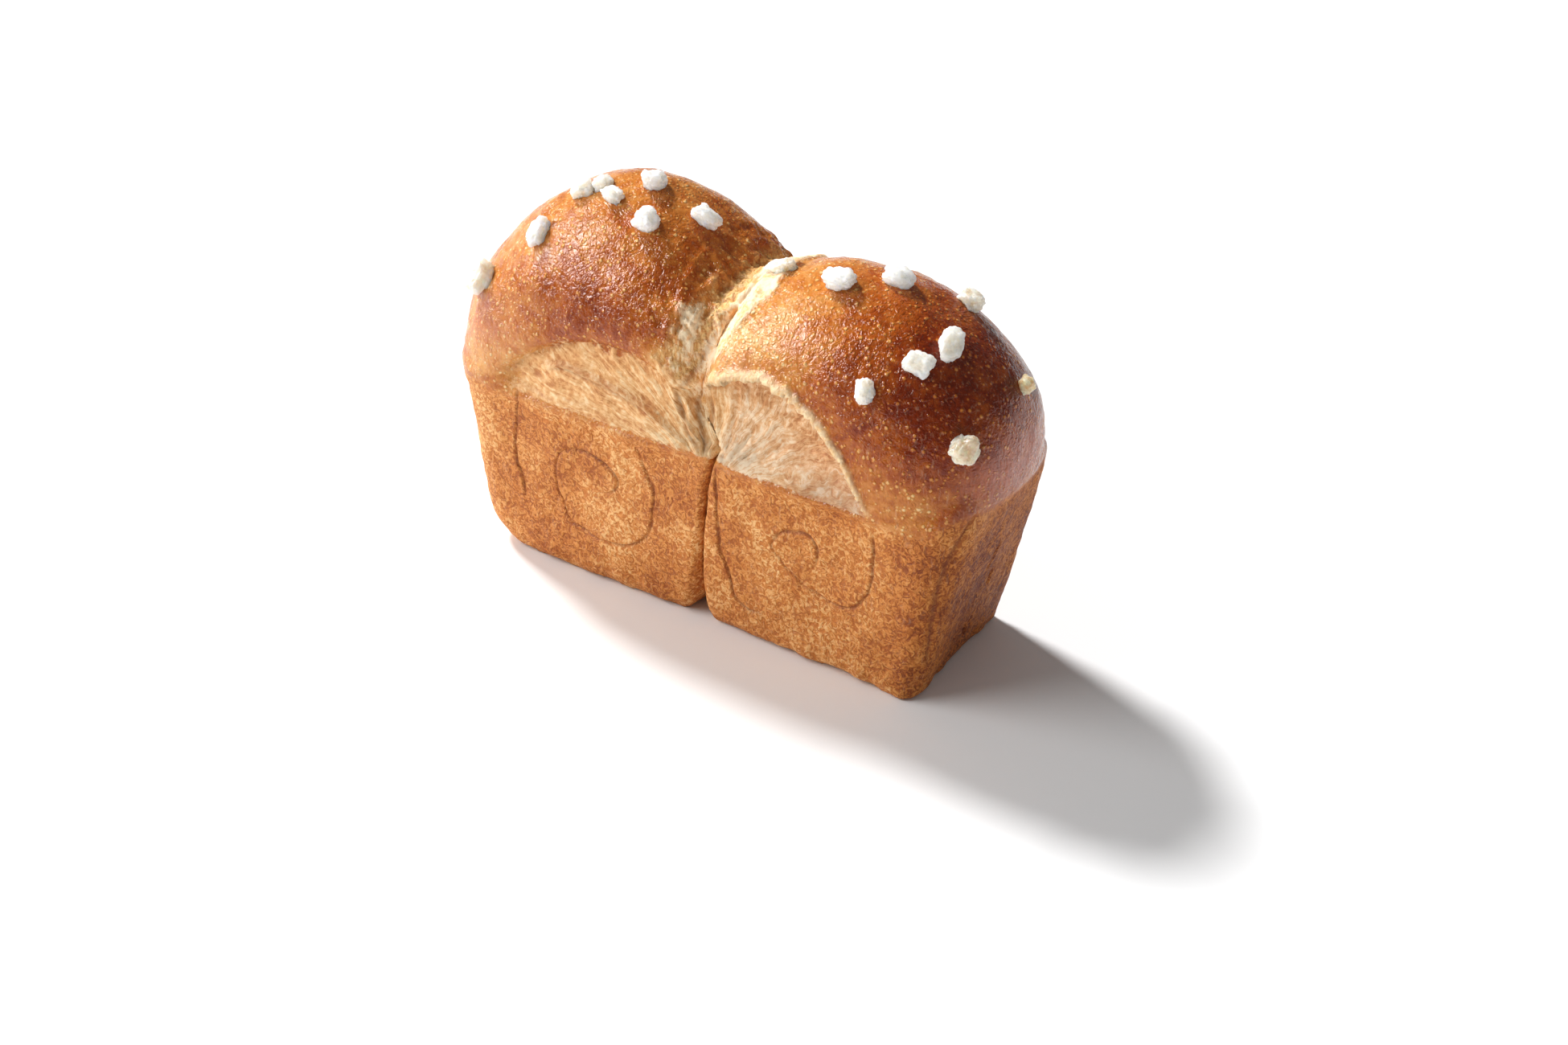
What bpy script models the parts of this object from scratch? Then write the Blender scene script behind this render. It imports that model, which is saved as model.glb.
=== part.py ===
# Brioche: two rolled lobes of dough, proved and baked side by side in a small
# flared tin, with pearl sugar on the crust. One baked piece, so one solid.
# Units are metres, +Z up, the loaf stands on its base with +X along its length.

import math

import bmesh
import bpy
import numpy as np

MM = 0.001

# The baked block, as the tin shaped it
RIM_LENGTH = 115.0 * MM
BASE_LENGTH = 100.1 * MM
RIM_WIDTH = 38.8 * MM
BASE_WIDTH = 36.0 * MM
RIM_HEIGHT = 37.2 * MM
RIM_CORNER = 10.4 * MM
BASE_CORNER = 6.7 * MM
BASE_EDGE = 3.0 * MM
LEFT_BASE_EDGE = 6.5 * MM
LEFT_BASE_FROM = 40.0 * MM
# The right end filled the corners of the tin better, so its corners are crisper
RIGHT_BASE_EDGE = 1.8 * MM
RIGHT_RIM_CORNER = 5.5 * MM
RIGHT_BASE_CORNER = 3.0 * MM
RIGHT_FROM = 40.0 * MM

# How far the risen crown stands out over the rim, and how it meets the block:
# with a fold at the two ends, smoothly at the four corners
BULGE_END = 2.4 * MM
BULGE_SIDE = 2.2 * MM
BULGE_CORNER = 12.0 * MM
BULGE_BLEND = 5.0 * MM
CROWN_OVERLAP = 2.0 * MM
LOBE_BLEND = 2.0 * MM
FOLD_BLEND = 1.5 * MM
CORNER_BLEND = 2.8 * MM
CORNER_FROM = (40.0 * MM, 11.0 * MM)
CORNER_RAMP = 5.0 * MM
# How much higher the crown folds over on the right end
END_FOLD_RISE = 4.2 * MM
END_FOLD_FROM = 50.0 * MM
END_FOLD_RAMP = 6.0 * MM
CROWN_SCALE = 24.0 * MM

# Each risen lobe: its centre, its reach each way, and how square it is
LEFT_LOBE = {
    "centre": (-21.7 * MM, 2.1 * MM, 40.3 * MM),
    "left": 39.4 * MM,
    "right": 33.7 * MM,
    "front": 27.4 * MM,
    "back": 27.2 * MM,
    "above": 38.4 * MM,
    "below": 24.2 * MM,
    "plan_power": 2.63,
    "rise_power": 1.70,
}
RIGHT_LOBE = {
    "centre": (28.1 * MM, 0.0, 44.4 * MM),
    "left": 40.8 * MM,
    "right": 33.3 * MM,
    "front": 24.5 * MM,
    "back": 23.6 * MM,
    "above": 29.2 * MM,
    "below": 21.4 * MM,
    "plan_power": 2.30,
    "rise_power": 1.85,
}

# The line where the lobes meet, as x at a height, on the front and on the back
SEAM_HEIGHTS = (0.0, 20 * MM, 30 * MM, 38 * MM, 47 * MM, 55 * MM, 62 * MM, 69 * MM)
SEAM_FRONT = (2.5 * MM, 4.0 * MM, 4.7 * MM, 6.6 * MM, 1.2 * MM, 1.8 * MM, 4.2 * MM, 7.4 * MM)
SEAM_BACK = (2.2 * MM, 1.4 * MM, 1.6 * MM, 2.2 * MM, 4.6 * MM, 5.6 * MM, 6.6 * MM, 7.4 * MM)
SEAM_NOTCH_HEIGHT = 17.0 * MM
SEAM_NOTCH_HALF = 2.3 * MM
SEAM_HALF = 0.8 * MM
SEAM_NOTCH_DEPTH = 6.0 * MM
SEAM_DEPTH = 2.4 * MM
VALLEY_HALF = 3.6 * MM
VALLEY_DEPTH = 4.2 * MM
VALLEY_START = 6.0 * MM
VALLEY_RAMP = 12.0 * MM

# Torn hollows where the lobes rose over the rim: the top of each is an arch
# with its own reach to the left and right, and it ends at a given x
SHRED_FOOT = 36.9 * MM
ARCH_POWER = 0.75
SHREDS = (
    {"side": -1, "peak": -16.0 * MM, "left": 27.0 * MM, "right": 22.5 * MM,
     "height": 15.8 * MM, "from": -39.4 * MM, "to": 6.5 * MM,
     "depth": 1.5 * MM, "blend": 2.6 * MM},
    {"side": -1, "peak": 16.5 * MM, "left": 21.5 * MM, "right": 22.8 * MM,
     "height": 19.0 * MM, "from": 2.4 * MM, "to": 41.0 * MM,
     "depth": 4.2 * MM, "blend": 0.5 * MM},
    {"side": 1, "peak": -22.0 * MM, "left": 23.0 * MM, "right": 30.0 * MM,
     "height": 18.0 * MM, "from": -43.0 * MM, "to": 1.8 * MM,
     "depth": 2.8 * MM, "blend": 0.8 * MM},
    {"side": 1, "peak": 24.0 * MM, "left": 26.0 * MM, "right": 24.0 * MM,
     "height": 15.5 * MM, "from": 3.5 * MM, "to": 44.0 * MM,
     "depth": 1.6 * MM, "blend": 2.4 * MM},
)
SHRED_RAMP = 9.0 * MM

# Creases that the rolled dough leaves on the tin faces, as (x, z) along each
LEFT_WRAP = ((-38.9, 46.0), (-38.8, 38.0), (-40.4, 27.0), (-40.0, 19.0), (-38.8, 12.0))
LEFT_ROLL = ((-14.5, 36.2), (-9.2, 29.5), (-7.5, 21.0), (-9.6, 14.0), (-15.0, 10.2),
             (-21.0, 9.6), (-27.6, 12.6), (-30.7, 20.5), (-29.0, 26.7), (-24.5, 28.4),
             (-19.2, 27.1), (-16.6, 24.2), (-18.4, 21.8))
RIGHT_WRAP = ((6.8, 36.5), (7.0, 27.0), (8.3, 14.5), (11.2, 8.7), (15.7, 5.8), (19.8, 7.4))
RIGHT_ROLL = ((39.6, 36.4), (40.9, 28.0), (40.8, 21.0), (37.5, 16.2), (31.0, 14.0),
              (25.0, 15.0), (21.2, 18.5), (20.0, 24.0), (21.8, 27.2), (24.2, 27.3))
RIGHT_CURL = ((25.6, 26.4), (28.0, 25.6), (28.5, 22.4), (27.8, 18.5))
FRONT_CREASES = (LEFT_WRAP, LEFT_ROLL, RIGHT_WRAP, RIGHT_ROLL, RIGHT_CURL)
# The back shows the other ends of the same rolls, seen mirrored and a little higher
BACK_SHIFT = (3.0, 1.5)
CREASE_DEPTH = 0.9 * MM
CREASE_HALF = 0.75 * MM
CREASE_STEP = 0.45 * MM
CREASE_STEP_REACH = 3.5 * MM
CREASE_TOP = 37.5 * MM

# Unevenness of the crust
WAVE_SIZE = 15.0 * MM
WAVE_HEIGHT = 0.45 * MM
LUMP_SIZE = 5.0 * MM
LUMP_HEIGHT = 0.22 * MM
CRAG_SIZE = 3.6 * MM
CRAG_HEIGHT = 0.8 * MM
CRAG_REACH = 15.0 * MM
CRAG_FLOOR = 56.0 * MM
FIBRE_WIDTH = 2.2 * MM
FIBRE_LENGTH = 11.0 * MM
FIBRE_HEIGHT = 0.45 * MM
FIBRE_FOCUS = (8.0 * MM, 28.0 * MM)
BASE_RAGGED = 0.5 * MM

# Rays that find the crust start from an upright plate inside the loaf
PLATE_HALF = 34.0 * MM
PLATE_FOOT = 12.0 * MM
PLATE_TOP = 52.0 * MM
BLOCK_HALF_Y = 20.0 * MM
RAY_REACH = 38.0 * MM
RAY_STEP = 1.0 * MM
RAY_HALVINGS = 14

# Faces of the block the crust is cast from, and of the finished loaf
BLOCK_CUTS = (118, 40, 74)
LOAF_FACES = 10200
FLAT_BAND = 0.35 * MM

# Pearl sugar: where each lies on the crust, its length and width, and its turn
SUGAR_SHOWN = (
    ((-32.9, -5.4, 74.4), 4.8, 3.8, 20), ((-29.4, -3.9, 76.1), 3.6, 3.3, 60),
    ((-25.7, -5.8, 75.5), 4.4, 2.9, -15), ((-20.3, -0.3, 78.1), 5.2, 4.9, 50),
    ((-16.6, -7.7, 74.1), 5.6, 4.8, 10), ((-9.0, -0.5, 74.1), 5.8, 3.9, 5),
    ((-37.9, -12.3, 67.5), 5.4, 3.9, 75), ((-49.4, -15.1, 55.7), 8.0, 3.8, 40),
    ((9.1, -2.3, 69.4), 6.6, 3.4, 10), ((23.5, -5.7, 72.3), 7.0, 5.2, 0),
    ((32.0, -0.8, 73.2), 6.4, 4.2, 10), ((43.5, 2.0, 69.5), 5.2, 4.0, -20),
    ((46.0, -6.9, 67.1), 8.0, 3.6, -40), ((43.3, -12.8, 65.1), 5.7, 4.5, 10),
    ((36.8, -18.7, 60.3), 5.0, 3.4, -45), ((56.0, 2.7, 58.6), 4.0, 3.6, 0),
    ((54.0, -14.5, 53.2), 6.0, 5.6, 30),
)
SUGAR_BEHIND = (
    ((-38.0, 18.0, 62.0), 5.6, 4.2, 30), ((-24.0, 19.0, 66.0), 5.0, 4.4, -20),
    ((-9.0, 20.0, 60.0), 6.2, 3.8, 65), ((-48.0, 14.0, 56.0), 5.4, 4.0, 10),
    ((-18.0, 23.0, 56.0), 5.8, 4.6, 45), ((16.0, 16.0, 62.0), 5.2, 4.0, -35),
    ((28.0, 19.0, 58.0), 6.4, 4.4, 15), ((38.0, 18.0, 56.0), 5.0, 4.2, 80),
    ((45.0, 18.0, 50.0), 5.6, 3.8, -10),
)
SUGAR_RISE = 0.75
SUGAR_SINK = 0.25
SUGAR_ROUGH = 0.16
SUGAR_SEED = 11

CRUST_COLOUR = (0.52, 0.235, 0.075, 1.0)
CRUST_ROUGHNESS = 0.42


def smooth_min(a, b, blend):
    """The smaller of two fields, rounded over where they are close."""
    h = np.clip(0.5 + 0.5 * (b - a) / blend, 0.0, 1.0)
    return b * (1 - h) + a * h - blend * h * (1 - h)


def smooth_max(a, b, blend):
    return -smooth_min(-a, -b, blend)


def ease(t):
    """0 below 0, 1 above 1, and smooth between."""
    t = np.clip(t, 0.0, 1.0)
    return t * t * (3 - 2 * t)


def lattice_noise(x, y, z, seed):
    """Smooth noise between -1 and 1, with one feature for each unit of x, y and z."""
    cell = [np.floor(v).astype(np.int64) for v in (x, y, z)]
    part = [v - c for v, c in zip((x, y, z), cell)]
    fade = [p * p * p * (p * (p * 6 - 15) + 10) for p in part]
    total = np.zeros_like(x)
    for corner in range(8):
        step = (corner & 1, corner >> 1 & 1, corner >> 2 & 1)
        key = (cell[0] + step[0]) * 73856093 ^ (cell[1] + step[1]) * 19349663
        key = key ^ (cell[2] + step[2]) * 83492791 ^ seed * 2654435761
        key = (key ^ key >> 13) * 1274126177 & 0x7FFFFFFF
        value = ((key ^ key >> 16) & 0xFFFF) / 32767.5 - 1.0
        weight = 1.0
        for f, s in zip(fade, step):
            weight = weight * (f if s else 1 - f)
        total += value * weight
    return total


def seam_x(y, z):
    """x of the line where the lobes meet."""
    front = np.interp(z, SEAM_HEIGHTS, SEAM_FRONT)
    back = np.interp(z, SEAM_HEIGHTS, SEAM_BACK)
    share = ease(y / RIM_WIDTH + 0.5)
    return front * (1 - share) + back * share


def end_fold(x):
    """How much higher the crown folds over, which is only on the right end."""
    return END_FOLD_RISE * ease((x - END_FOLD_FROM) / END_FOLD_RAMP)


def tin_half_sizes(z):
    share = np.minimum(z / RIM_HEIGHT, 1.0)
    half_x = (BASE_LENGTH + (RIM_LENGTH - BASE_LENGTH) * share) / 2
    half_y = (BASE_WIDTH + (RIM_WIDTH - BASE_WIDTH) * share) / 2
    return half_x, half_y


def rounded_corner(out_a, out_b, radius):
    """Distance past two faces at a right angle, with the edge between them rounded."""
    a, b = out_a + radius, out_b + radius
    return np.hypot(np.maximum(a, 0), np.maximum(b, 0)) + np.minimum(np.maximum(a, b), 0) - radius


def tin_block(x, y, z):
    """The flared block with rounded corners, and the notch between the lobes cut in."""
    half_x, half_y = tin_half_sizes(z)
    corner = BASE_CORNER + (RIM_CORNER - BASE_CORNER) * np.clip(z / RIM_HEIGHT, 0, 1)
    right_corner = RIGHT_BASE_CORNER + (RIGHT_RIM_CORNER - RIGHT_BASE_CORNER) * np.clip(z / RIM_HEIGHT, 0, 1)
    at_right = ease((x - RIGHT_FROM) / (4 * MM))
    corner = corner + (right_corner - corner) * at_right
    plan = rounded_corner(np.abs(x) - half_x, np.abs(y) - half_y, corner)
    edge = BASE_EDGE + (LEFT_BASE_EDGE - BASE_EDGE) * ease((-x - LEFT_BASE_FROM) / (8 * MM))
    edge = edge + (RIGHT_BASE_EDGE - BASE_EDGE) * at_right
    block = rounded_corner(plan, -z, edge)
    block = smooth_max(block, z - RIM_HEIGHT - end_fold(x) - CROWN_OVERLAP / 2, CROWN_OVERLAP)
    low = np.clip(1 - z / SEAM_NOTCH_HEIGHT, 0, 1) ** 1.6
    half = SEAM_HALF + (SEAM_NOTCH_HALF - SEAM_HALF) * low
    depth = SEAM_DEPTH + (SEAM_NOTCH_DEPTH - SEAM_DEPTH) * low
    notch = half * (1 + block / depth) - np.abs(x - seam_x(y, z))
    return smooth_max(block, notch, 0.8 * MM)


def risen_lobe(lobe, x, y, z):
    """One lobe above the rim, as a squared ellipsoid with its own reach each way."""
    cx, cy, cz = lobe["centre"]
    across = np.where(x < cx, lobe["left"], lobe["right"])
    through = np.where(y < cy, lobe["front"], lobe["back"])
    upward = np.where(z < cz, lobe["below"], lobe["above"])
    plan, rise = lobe["plan_power"], lobe["rise_power"]
    flat = np.abs((x - cx) / across) ** plan + np.abs((y - cy) / through) ** plan
    reach = flat ** (rise / plan) + np.abs((z - cz) / upward) ** rise
    return (reach ** (1 / rise) - 1) * CROWN_SCALE


def shred_arch(shred, x):
    """Height of the crust's torn edge over a hollow."""
    reach = np.where(x < shred["peak"], shred["left"], shred["right"])
    share = np.clip(1 - ((x - shred["peak"]) / reach) ** 2, 0, 1)
    return SHRED_FOOT + shred["height"] * share ** ARCH_POWER


def shred_inside(shred, x, z):
    """Distance inside the outline of a hollow, seen from the front or the back."""
    inside = np.minimum(z - SHRED_FOOT, 0.8 * (shred_arch(shred, x) - z))
    return np.minimum(inside, np.minimum(x - shred["from"], shred["to"] - x))


def crown(x, y, z):
    """Both lobes over the rim, the valley between them and the torn hollows."""
    both = smooth_min(risen_lobe(LEFT_LOBE, x, y, z), risen_lobe(RIGHT_LOBE, x, y, z), LOBE_BLEND)
    past_end = np.abs(x) - RIM_LENGTH / 2 - BULGE_END
    past_side = np.abs(y) - RIM_WIDTH / 2 - BULGE_SIDE
    both = smooth_max(both, rounded_corner(past_end, past_side, BULGE_CORNER), BULGE_BLEND)
    open_side = ease((np.abs(y) - VALLEY_START) / VALLEY_RAMP)
    valley = VALLEY_HALF * (open_side + both / VALLEY_DEPTH) - np.abs(x - seam_x(y, z))
    both = smooth_max(both, valley, 1.2 * MM)
    for shred in SHREDS:
        rise = ease((z - SHRED_FOOT) / SHRED_RAMP)
        face = RIM_WIDTH / 2 - shred["depth"] * rise
        cut = np.minimum(shred_inside(shred, x, z), y * shred["side"] - face)
        both = smooth_max(both, cut, shred["blend"])
    return smooth_max(both, RIM_HEIGHT - CROWN_OVERLAP + end_fold(x) - z, FOLD_BLEND)


def loaf_field(x, y, z):
    """Below zero inside the loaf."""
    at_corner = ease((np.abs(x) - CORNER_FROM[0]) / CORNER_RAMP)
    at_corner = at_corner * ease((np.abs(y) - CORNER_FROM[1]) / CORNER_RAMP)
    blend = FOLD_BLEND + (CORNER_BLEND - FOLD_BLEND) * at_corner
    return smooth_min(tin_block(x, y, z), crown(x, y, z), blend)


def cast_on_crust(points):
    """Moves points along rays from the plate inside the loaf onto its crust."""
    start = points.copy()
    start[:, 0] = np.clip(points[:, 0], -PLATE_HALF, PLATE_HALF)
    start[:, 1] = 0.0
    start[:, 2] = np.clip(points[:, 2], PLATE_FOOT, PLATE_TOP)
    way = points - start
    way /= np.linalg.norm(way, axis=1)[:, None]
    outer = np.full(len(points), RAY_REACH)
    waiting = np.arange(len(points))
    while len(waiting):
        step = start[waiting] + way[waiting] * (outer[waiting] - RAY_STEP)[:, None]
        met = (loaf_field(*step.T) < 0) | (outer[waiting] < 2 * RAY_STEP)
        outer[waiting[~met]] -= RAY_STEP
        waiting = waiting[~met]
    inner = outer - RAY_STEP
    for _ in range(RAY_HALVINGS):
        middle = (inner + outer) / 2
        inside = loaf_field(*(start + way * middle[:, None]).T) < 0
        inner = np.where(inside, middle, inner)
        outer = np.where(inside, outer, middle)
    return start + way * inner[:, None]


def crust_normals(points, span=0.6 * MM):
    """Outward direction of the crust at each point."""
    slope = np.empty_like(points)
    for axis in range(3):
        shift = np.zeros(3)
        shift[axis] = span
        slope[:, axis] = loaf_field(*(points + shift).T) - loaf_field(*(points - shift).T)
    return slope / np.linalg.norm(slope, axis=1)[:, None]


def smooth_path(corners, steps=6):
    """Points in metres along a smooth curve through corners given in millimetres."""
    ends = [corners[0]] + list(corners) + [corners[-1]]
    path = []
    for a, b, c, d in zip(ends, ends[1:], ends[2:], ends[3:]):
        for k in range(steps):
            t = k / steps
            path.append([((2 * q) + (r - p) * t + (2 * p - 5 * q + 4 * r - s) * t * t
                          + (3 * q - p - 3 * r + s) * t ** 3) / 2 * MM
                         for p, q, r, s in zip(a, b, c, d)])
    path.append([v * MM for v in corners[-1]])
    return np.array(path)


def crease_relief(across, up, path):
    """Depth of a crease, with the dough on its inner side a step higher."""
    near = np.full(len(across), 1.0)
    side = np.zeros(len(across))
    along = np.zeros(len(across))
    for k, (a, b) in enumerate(zip(path, path[1:])):
        run = b - a
        share = np.clip(((across - a[0]) * run[0] + (up - a[1]) * run[1]) / (run @ run), 0, 1)
        gap_x = across - a[0] - run[0] * share
        gap_z = up - a[1] - run[1] * share
        distance = np.hypot(gap_x, gap_z)
        closer = distance < near
        near = np.where(closer, distance, near)
        side = np.where(closer, np.sign(run[1] * gap_x - run[0] * gap_z), side)
        along = np.where(closer, (k + share) / (len(path) - 1), along)
    ends = ease(along / 0.06) * ease((1 - along) / 0.12)
    cut = -CREASE_DEPTH * np.exp(-(near / CREASE_HALF) ** 2)
    inner = ease(0.5 + side * near / CREASE_HALF)
    step = CREASE_STEP * inner * np.exp(-near / CREASE_STEP_REACH)
    return (cut + step) * ends


def roll_relief(points, normals):
    """Creases of the rolled dough on the front and the back."""
    x, y, z = points.T
    relief = np.zeros(len(points))
    for face, mirror, shift in ((-1, 1, (0.0, 0.0)), (1, -1, BACK_SHIFT)):
        facing = ease((normals[:, 1] * face - 0.5) / 0.3)
        facing = facing * ease((CREASE_TOP - z) / MM)
        rows = facing > 0
        for corners in FRONT_CREASES:
            path = smooth_path([(mirror * a + shift[0], b + shift[1]) for a, b in corners])
            if mirror < 0:
                path = path[::-1]
            relief[rows] += facing[rows] * crease_relief(x[rows], z[rows], path)
    return relief


def shred_weight(points):
    """1 on the torn, fibrous dough and 0 on the crust."""
    x, y, z = points.T
    weight = np.zeros(len(points))
    for shred in SHREDS:
        behind = ease((y * shred["side"] - 8 * MM) / (4 * MM))
        weight = np.maximum(weight, behind * ease(shred_inside(shred, x, z) / (1.5 * MM)))
    return weight


def fibre_relief(points):
    """Pulled strands of dough that run together towards the seam at the rim."""
    x, y, z = points.T
    run_x, run_z = x - FIBRE_FOCUS[0], z - FIBRE_FOCUS[1]
    reach = np.hypot(run_x, run_z)
    turn = np.arctan2(run_z, run_x) * 26 * MM
    strands = lattice_noise(turn / FIBRE_WIDTH, reach / FIBRE_LENGTH, y / (9 * MM), 5)
    return FIBRE_HEIGHT * strands * shred_weight(points)


def crust_relief(points):
    """Gentle waves and lumps all over, and crags where the lobes pull apart."""
    x, y, z = points.T
    waves = WAVE_HEIGHT * lattice_noise(x / WAVE_SIZE, y / WAVE_SIZE, z / WAVE_SIZE, 1)
    lumps = LUMP_HEIGHT * lattice_noise(x / LUMP_SIZE, y / LUMP_SIZE, z / LUMP_SIZE, 2)
    from_seam = seam_x(y, z) - x
    torn = ease(from_seam / (2 * MM)) * ease((CRAG_REACH - from_seam) / (6 * MM))
    torn = torn * ease((z - CRAG_FLOOR) / (5 * MM))
    crags = lattice_noise(x / CRAG_SIZE, y / CRAG_SIZE, z / CRAG_SIZE, 3)
    crags = CRAG_HEIGHT * (1 - 2 * np.abs(crags)) * torn
    foot = ease(1 - z / (7 * MM))
    ragged = BASE_RAGGED * lattice_noise(x / (3 * MM), y / (3 * MM), z / (3 * MM), 4) * foot
    return waves + lumps + crags + ragged


def shaped_crust(points):
    """Points on the block, moved onto the finished surface of the loaf."""
    crust = cast_on_crust(points)
    normals = crust_normals(crust)
    relief = crust_relief(crust) + fibre_relief(crust) + roll_relief(crust, normals)
    on_base = ease(1 - crust[:, 2] / (1.2 * MM)) * ease(-normals[:, 2] * 2 - 0.6)
    relief = relief * (1 - on_base)
    return crust + normals * relief[:, None], normals


def block_points(unit):
    """Points of a cube from -1 to 1, spread over the block that the rays pass through."""
    end_reach = RIM_LENGTH / 2 - PLATE_HALF
    along = unit[:, 0] * (PLATE_HALF + end_reach * math.pi / 4)
    past = np.maximum(np.abs(along) - PLATE_HALF, 0)
    x = np.clip(along, -PLATE_HALF, PLATE_HALF) + np.sign(along) * end_reach * np.tan(past / end_reach)
    y = BLOCK_HALF_Y * np.tan(0.6 * unit[:, 1]) / math.tan(0.6)
    up = (unit[:, 2] + 1) / 2 * (PLATE_TOP + BLOCK_HALF_Y * math.pi / 4)
    over = np.maximum(up - PLATE_TOP, 0)
    z = np.minimum(up, PLATE_TOP) + BLOCK_HALF_Y * np.tan(over / BLOCK_HALF_Y)
    return np.stack([x, y, z], axis=1)


def gridded_cube(cuts):
    """A cube with its edges along x, y and z cut into the given numbers of pieces."""
    grid = bmesh.new()
    bmesh.ops.create_cube(grid, size=2.0)
    for axis, count in enumerate(cuts):
        edges = [e for e in grid.edges
                 if abs(e.verts[0].co[axis] - e.verts[1].co[axis]) > 0.001]
        bmesh.ops.subdivide_edges(grid, edges=edges, cuts=count - 1, use_grid_fill=True)
    return grid


def remove_everything():
    for item in list(bpy.data.objects):
        bpy.data.objects.remove(item, do_unlink=True)


def crust_material():
    material = bpy.data.materials.new("crust")
    material.use_nodes = True
    shader = material.node_tree.nodes["Principled BSDF"]
    shader.inputs["Base Color"].default_value = CRUST_COLOUR
    shader.inputs["Roughness"].default_value = CRUST_ROUGHNESS
    shader.inputs["Metallic"].default_value = 0.0
    return material


def apply_modifier(item, modifier):
    bpy.context.view_layer.objects.active = item
    with bpy.context.temp_override(object=item, active_object=item, selected_objects=[item]):
        bpy.ops.object.modifier_apply(modifier=modifier.name)


def set_points(mesh, points):
    mesh.vertices.foreach_set("co", points.astype(np.float32).ravel())
    mesh.update()


def read_points(mesh):
    flat = np.empty(len(mesh.vertices) * 3, dtype=np.float32)
    mesh.vertices.foreach_get("co", flat)
    return flat.reshape(-1, 3).astype(float)


def flatten_base(mesh):
    """Puts what almost touches the table exactly on it."""
    points = read_points(mesh)
    points[:, 2] = np.where(points[:, 2] < FLAT_BAND, 0.0, points[:, 2])
    set_points(mesh, points)


def loaf_body():
    """The loaf without its sugar."""
    grid = gridded_cube(BLOCK_CUTS)
    mesh = bpy.data.meshes.new("loaf")
    grid.to_mesh(mesh)
    grid.free()
    points, _ = shaped_crust(block_points(read_points(mesh)))
    set_points(mesh, points)
    body = bpy.data.objects.new("loaf", mesh)
    bpy.context.collection.objects.link(body)
    flatten_base(mesh)
    thinner = body.modifiers.new("thinner", "DECIMATE")
    thinner.ratio = LOAF_FACES / (2 * len(mesh.polygons))
    apply_modifier(body, thinner)
    flatten_base(body.data)
    return body


def sugar_piece(number, place, length, width, turn, holder):
    """A lump of pearl sugar, part sunk in the crust and leaning with it."""
    aim = np.array([place]) * MM
    spot = cast_on_crust(aim)
    up = crust_normals(spot)[0]
    side = np.cross(up, (0.0, 1.0, 0.0))
    side /= np.linalg.norm(side)
    front = np.cross(up, side)
    angle = math.radians(turn)
    long_way = side * math.cos(angle) + front * math.sin(angle)
    wide_way = np.cross(up, long_way)
    lump = bmesh.new()
    bmesh.ops.create_icosphere(lump, subdivisions=1, radius=1.0)
    rest = [f for f in lump.faces if f.calc_center_median().z < -0.75]
    bmesh.ops.dissolve_faces(lump, faces=rest)
    draw = np.random.default_rng(SUGAR_SEED + number)
    height = min(length, width) * SUGAR_RISE
    for corner in lump.verts:
        swell = 1 + SUGAR_ROUGH * draw.uniform(-1, 1)
        along, across, over = np.array(corner.co) * swell
        offset = long_way * along * length / 2 + wide_way * across * width / 2
        offset = offset + up * (over / 2 + 0.5 - SUGAR_SINK) * height
        corner.co = spot[0] + offset * MM
    mesh = bpy.data.meshes.new("sugar_%02d" % number)
    lump.to_mesh(mesh)
    lump.free()
    piece = bpy.data.objects.new(mesh.name, mesh)
    holder.objects.link(piece)


def fuse_sugar(body):
    """Joins every lump of sugar to the loaf."""
    holder = bpy.data.collections.new("sugar")
    bpy.context.scene.collection.children.link(holder)
    for number, (place, length, width, turn) in enumerate(SUGAR_SHOWN + SUGAR_BEHIND):
        sugar_piece(number, place, length, width, turn, holder)
    union = body.modifiers.new("sugar", "BOOLEAN")
    union.operation = "UNION"
    union.operand_type = "COLLECTION"
    union.collection = holder
    union.solver = "EXACT"
    apply_modifier(body, union)
    for piece in list(holder.objects):
        bpy.data.objects.remove(piece, do_unlink=True)
    bpy.data.collections.remove(holder)


def centre_loaf(body):
    """Puts the middle of the loaf's box over the origin, with its base on z = 0."""
    points = read_points(body.data)
    low, high = points.min(axis=0), points.max(axis=0)
    middle = (low + high) / 2
    points -= (middle[0], middle[1], low[2])
    set_points(body.data, points)


def build_loaf():
    remove_everything()
    body = loaf_body()
    fuse_sugar(body)
    centre_loaf(body)
    body.data.materials.clear()
    body.data.materials.append(crust_material())
    body.data.shade_smooth()


build_loaf()
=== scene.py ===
# Brioche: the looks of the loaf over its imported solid. Two rolled lobes of dough,
# egg-washed and baked side by side in a small flared tin, with pearl sugar on top.

import math

import bmesh
import bpy
import numpy as np
from mathutils import Matrix, Vector


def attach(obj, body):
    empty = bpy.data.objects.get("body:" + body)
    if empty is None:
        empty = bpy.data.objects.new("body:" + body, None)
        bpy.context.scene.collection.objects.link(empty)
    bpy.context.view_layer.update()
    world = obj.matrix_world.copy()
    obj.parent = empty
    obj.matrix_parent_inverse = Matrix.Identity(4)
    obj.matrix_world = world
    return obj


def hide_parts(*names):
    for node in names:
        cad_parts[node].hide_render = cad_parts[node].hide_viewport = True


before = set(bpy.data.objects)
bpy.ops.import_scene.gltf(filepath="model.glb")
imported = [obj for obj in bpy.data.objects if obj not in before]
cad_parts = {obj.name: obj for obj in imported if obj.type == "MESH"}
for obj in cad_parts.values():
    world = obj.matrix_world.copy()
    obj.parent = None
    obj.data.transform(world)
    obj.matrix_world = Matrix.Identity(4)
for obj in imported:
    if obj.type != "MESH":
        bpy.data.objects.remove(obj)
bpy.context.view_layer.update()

MM = 0.001

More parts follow.
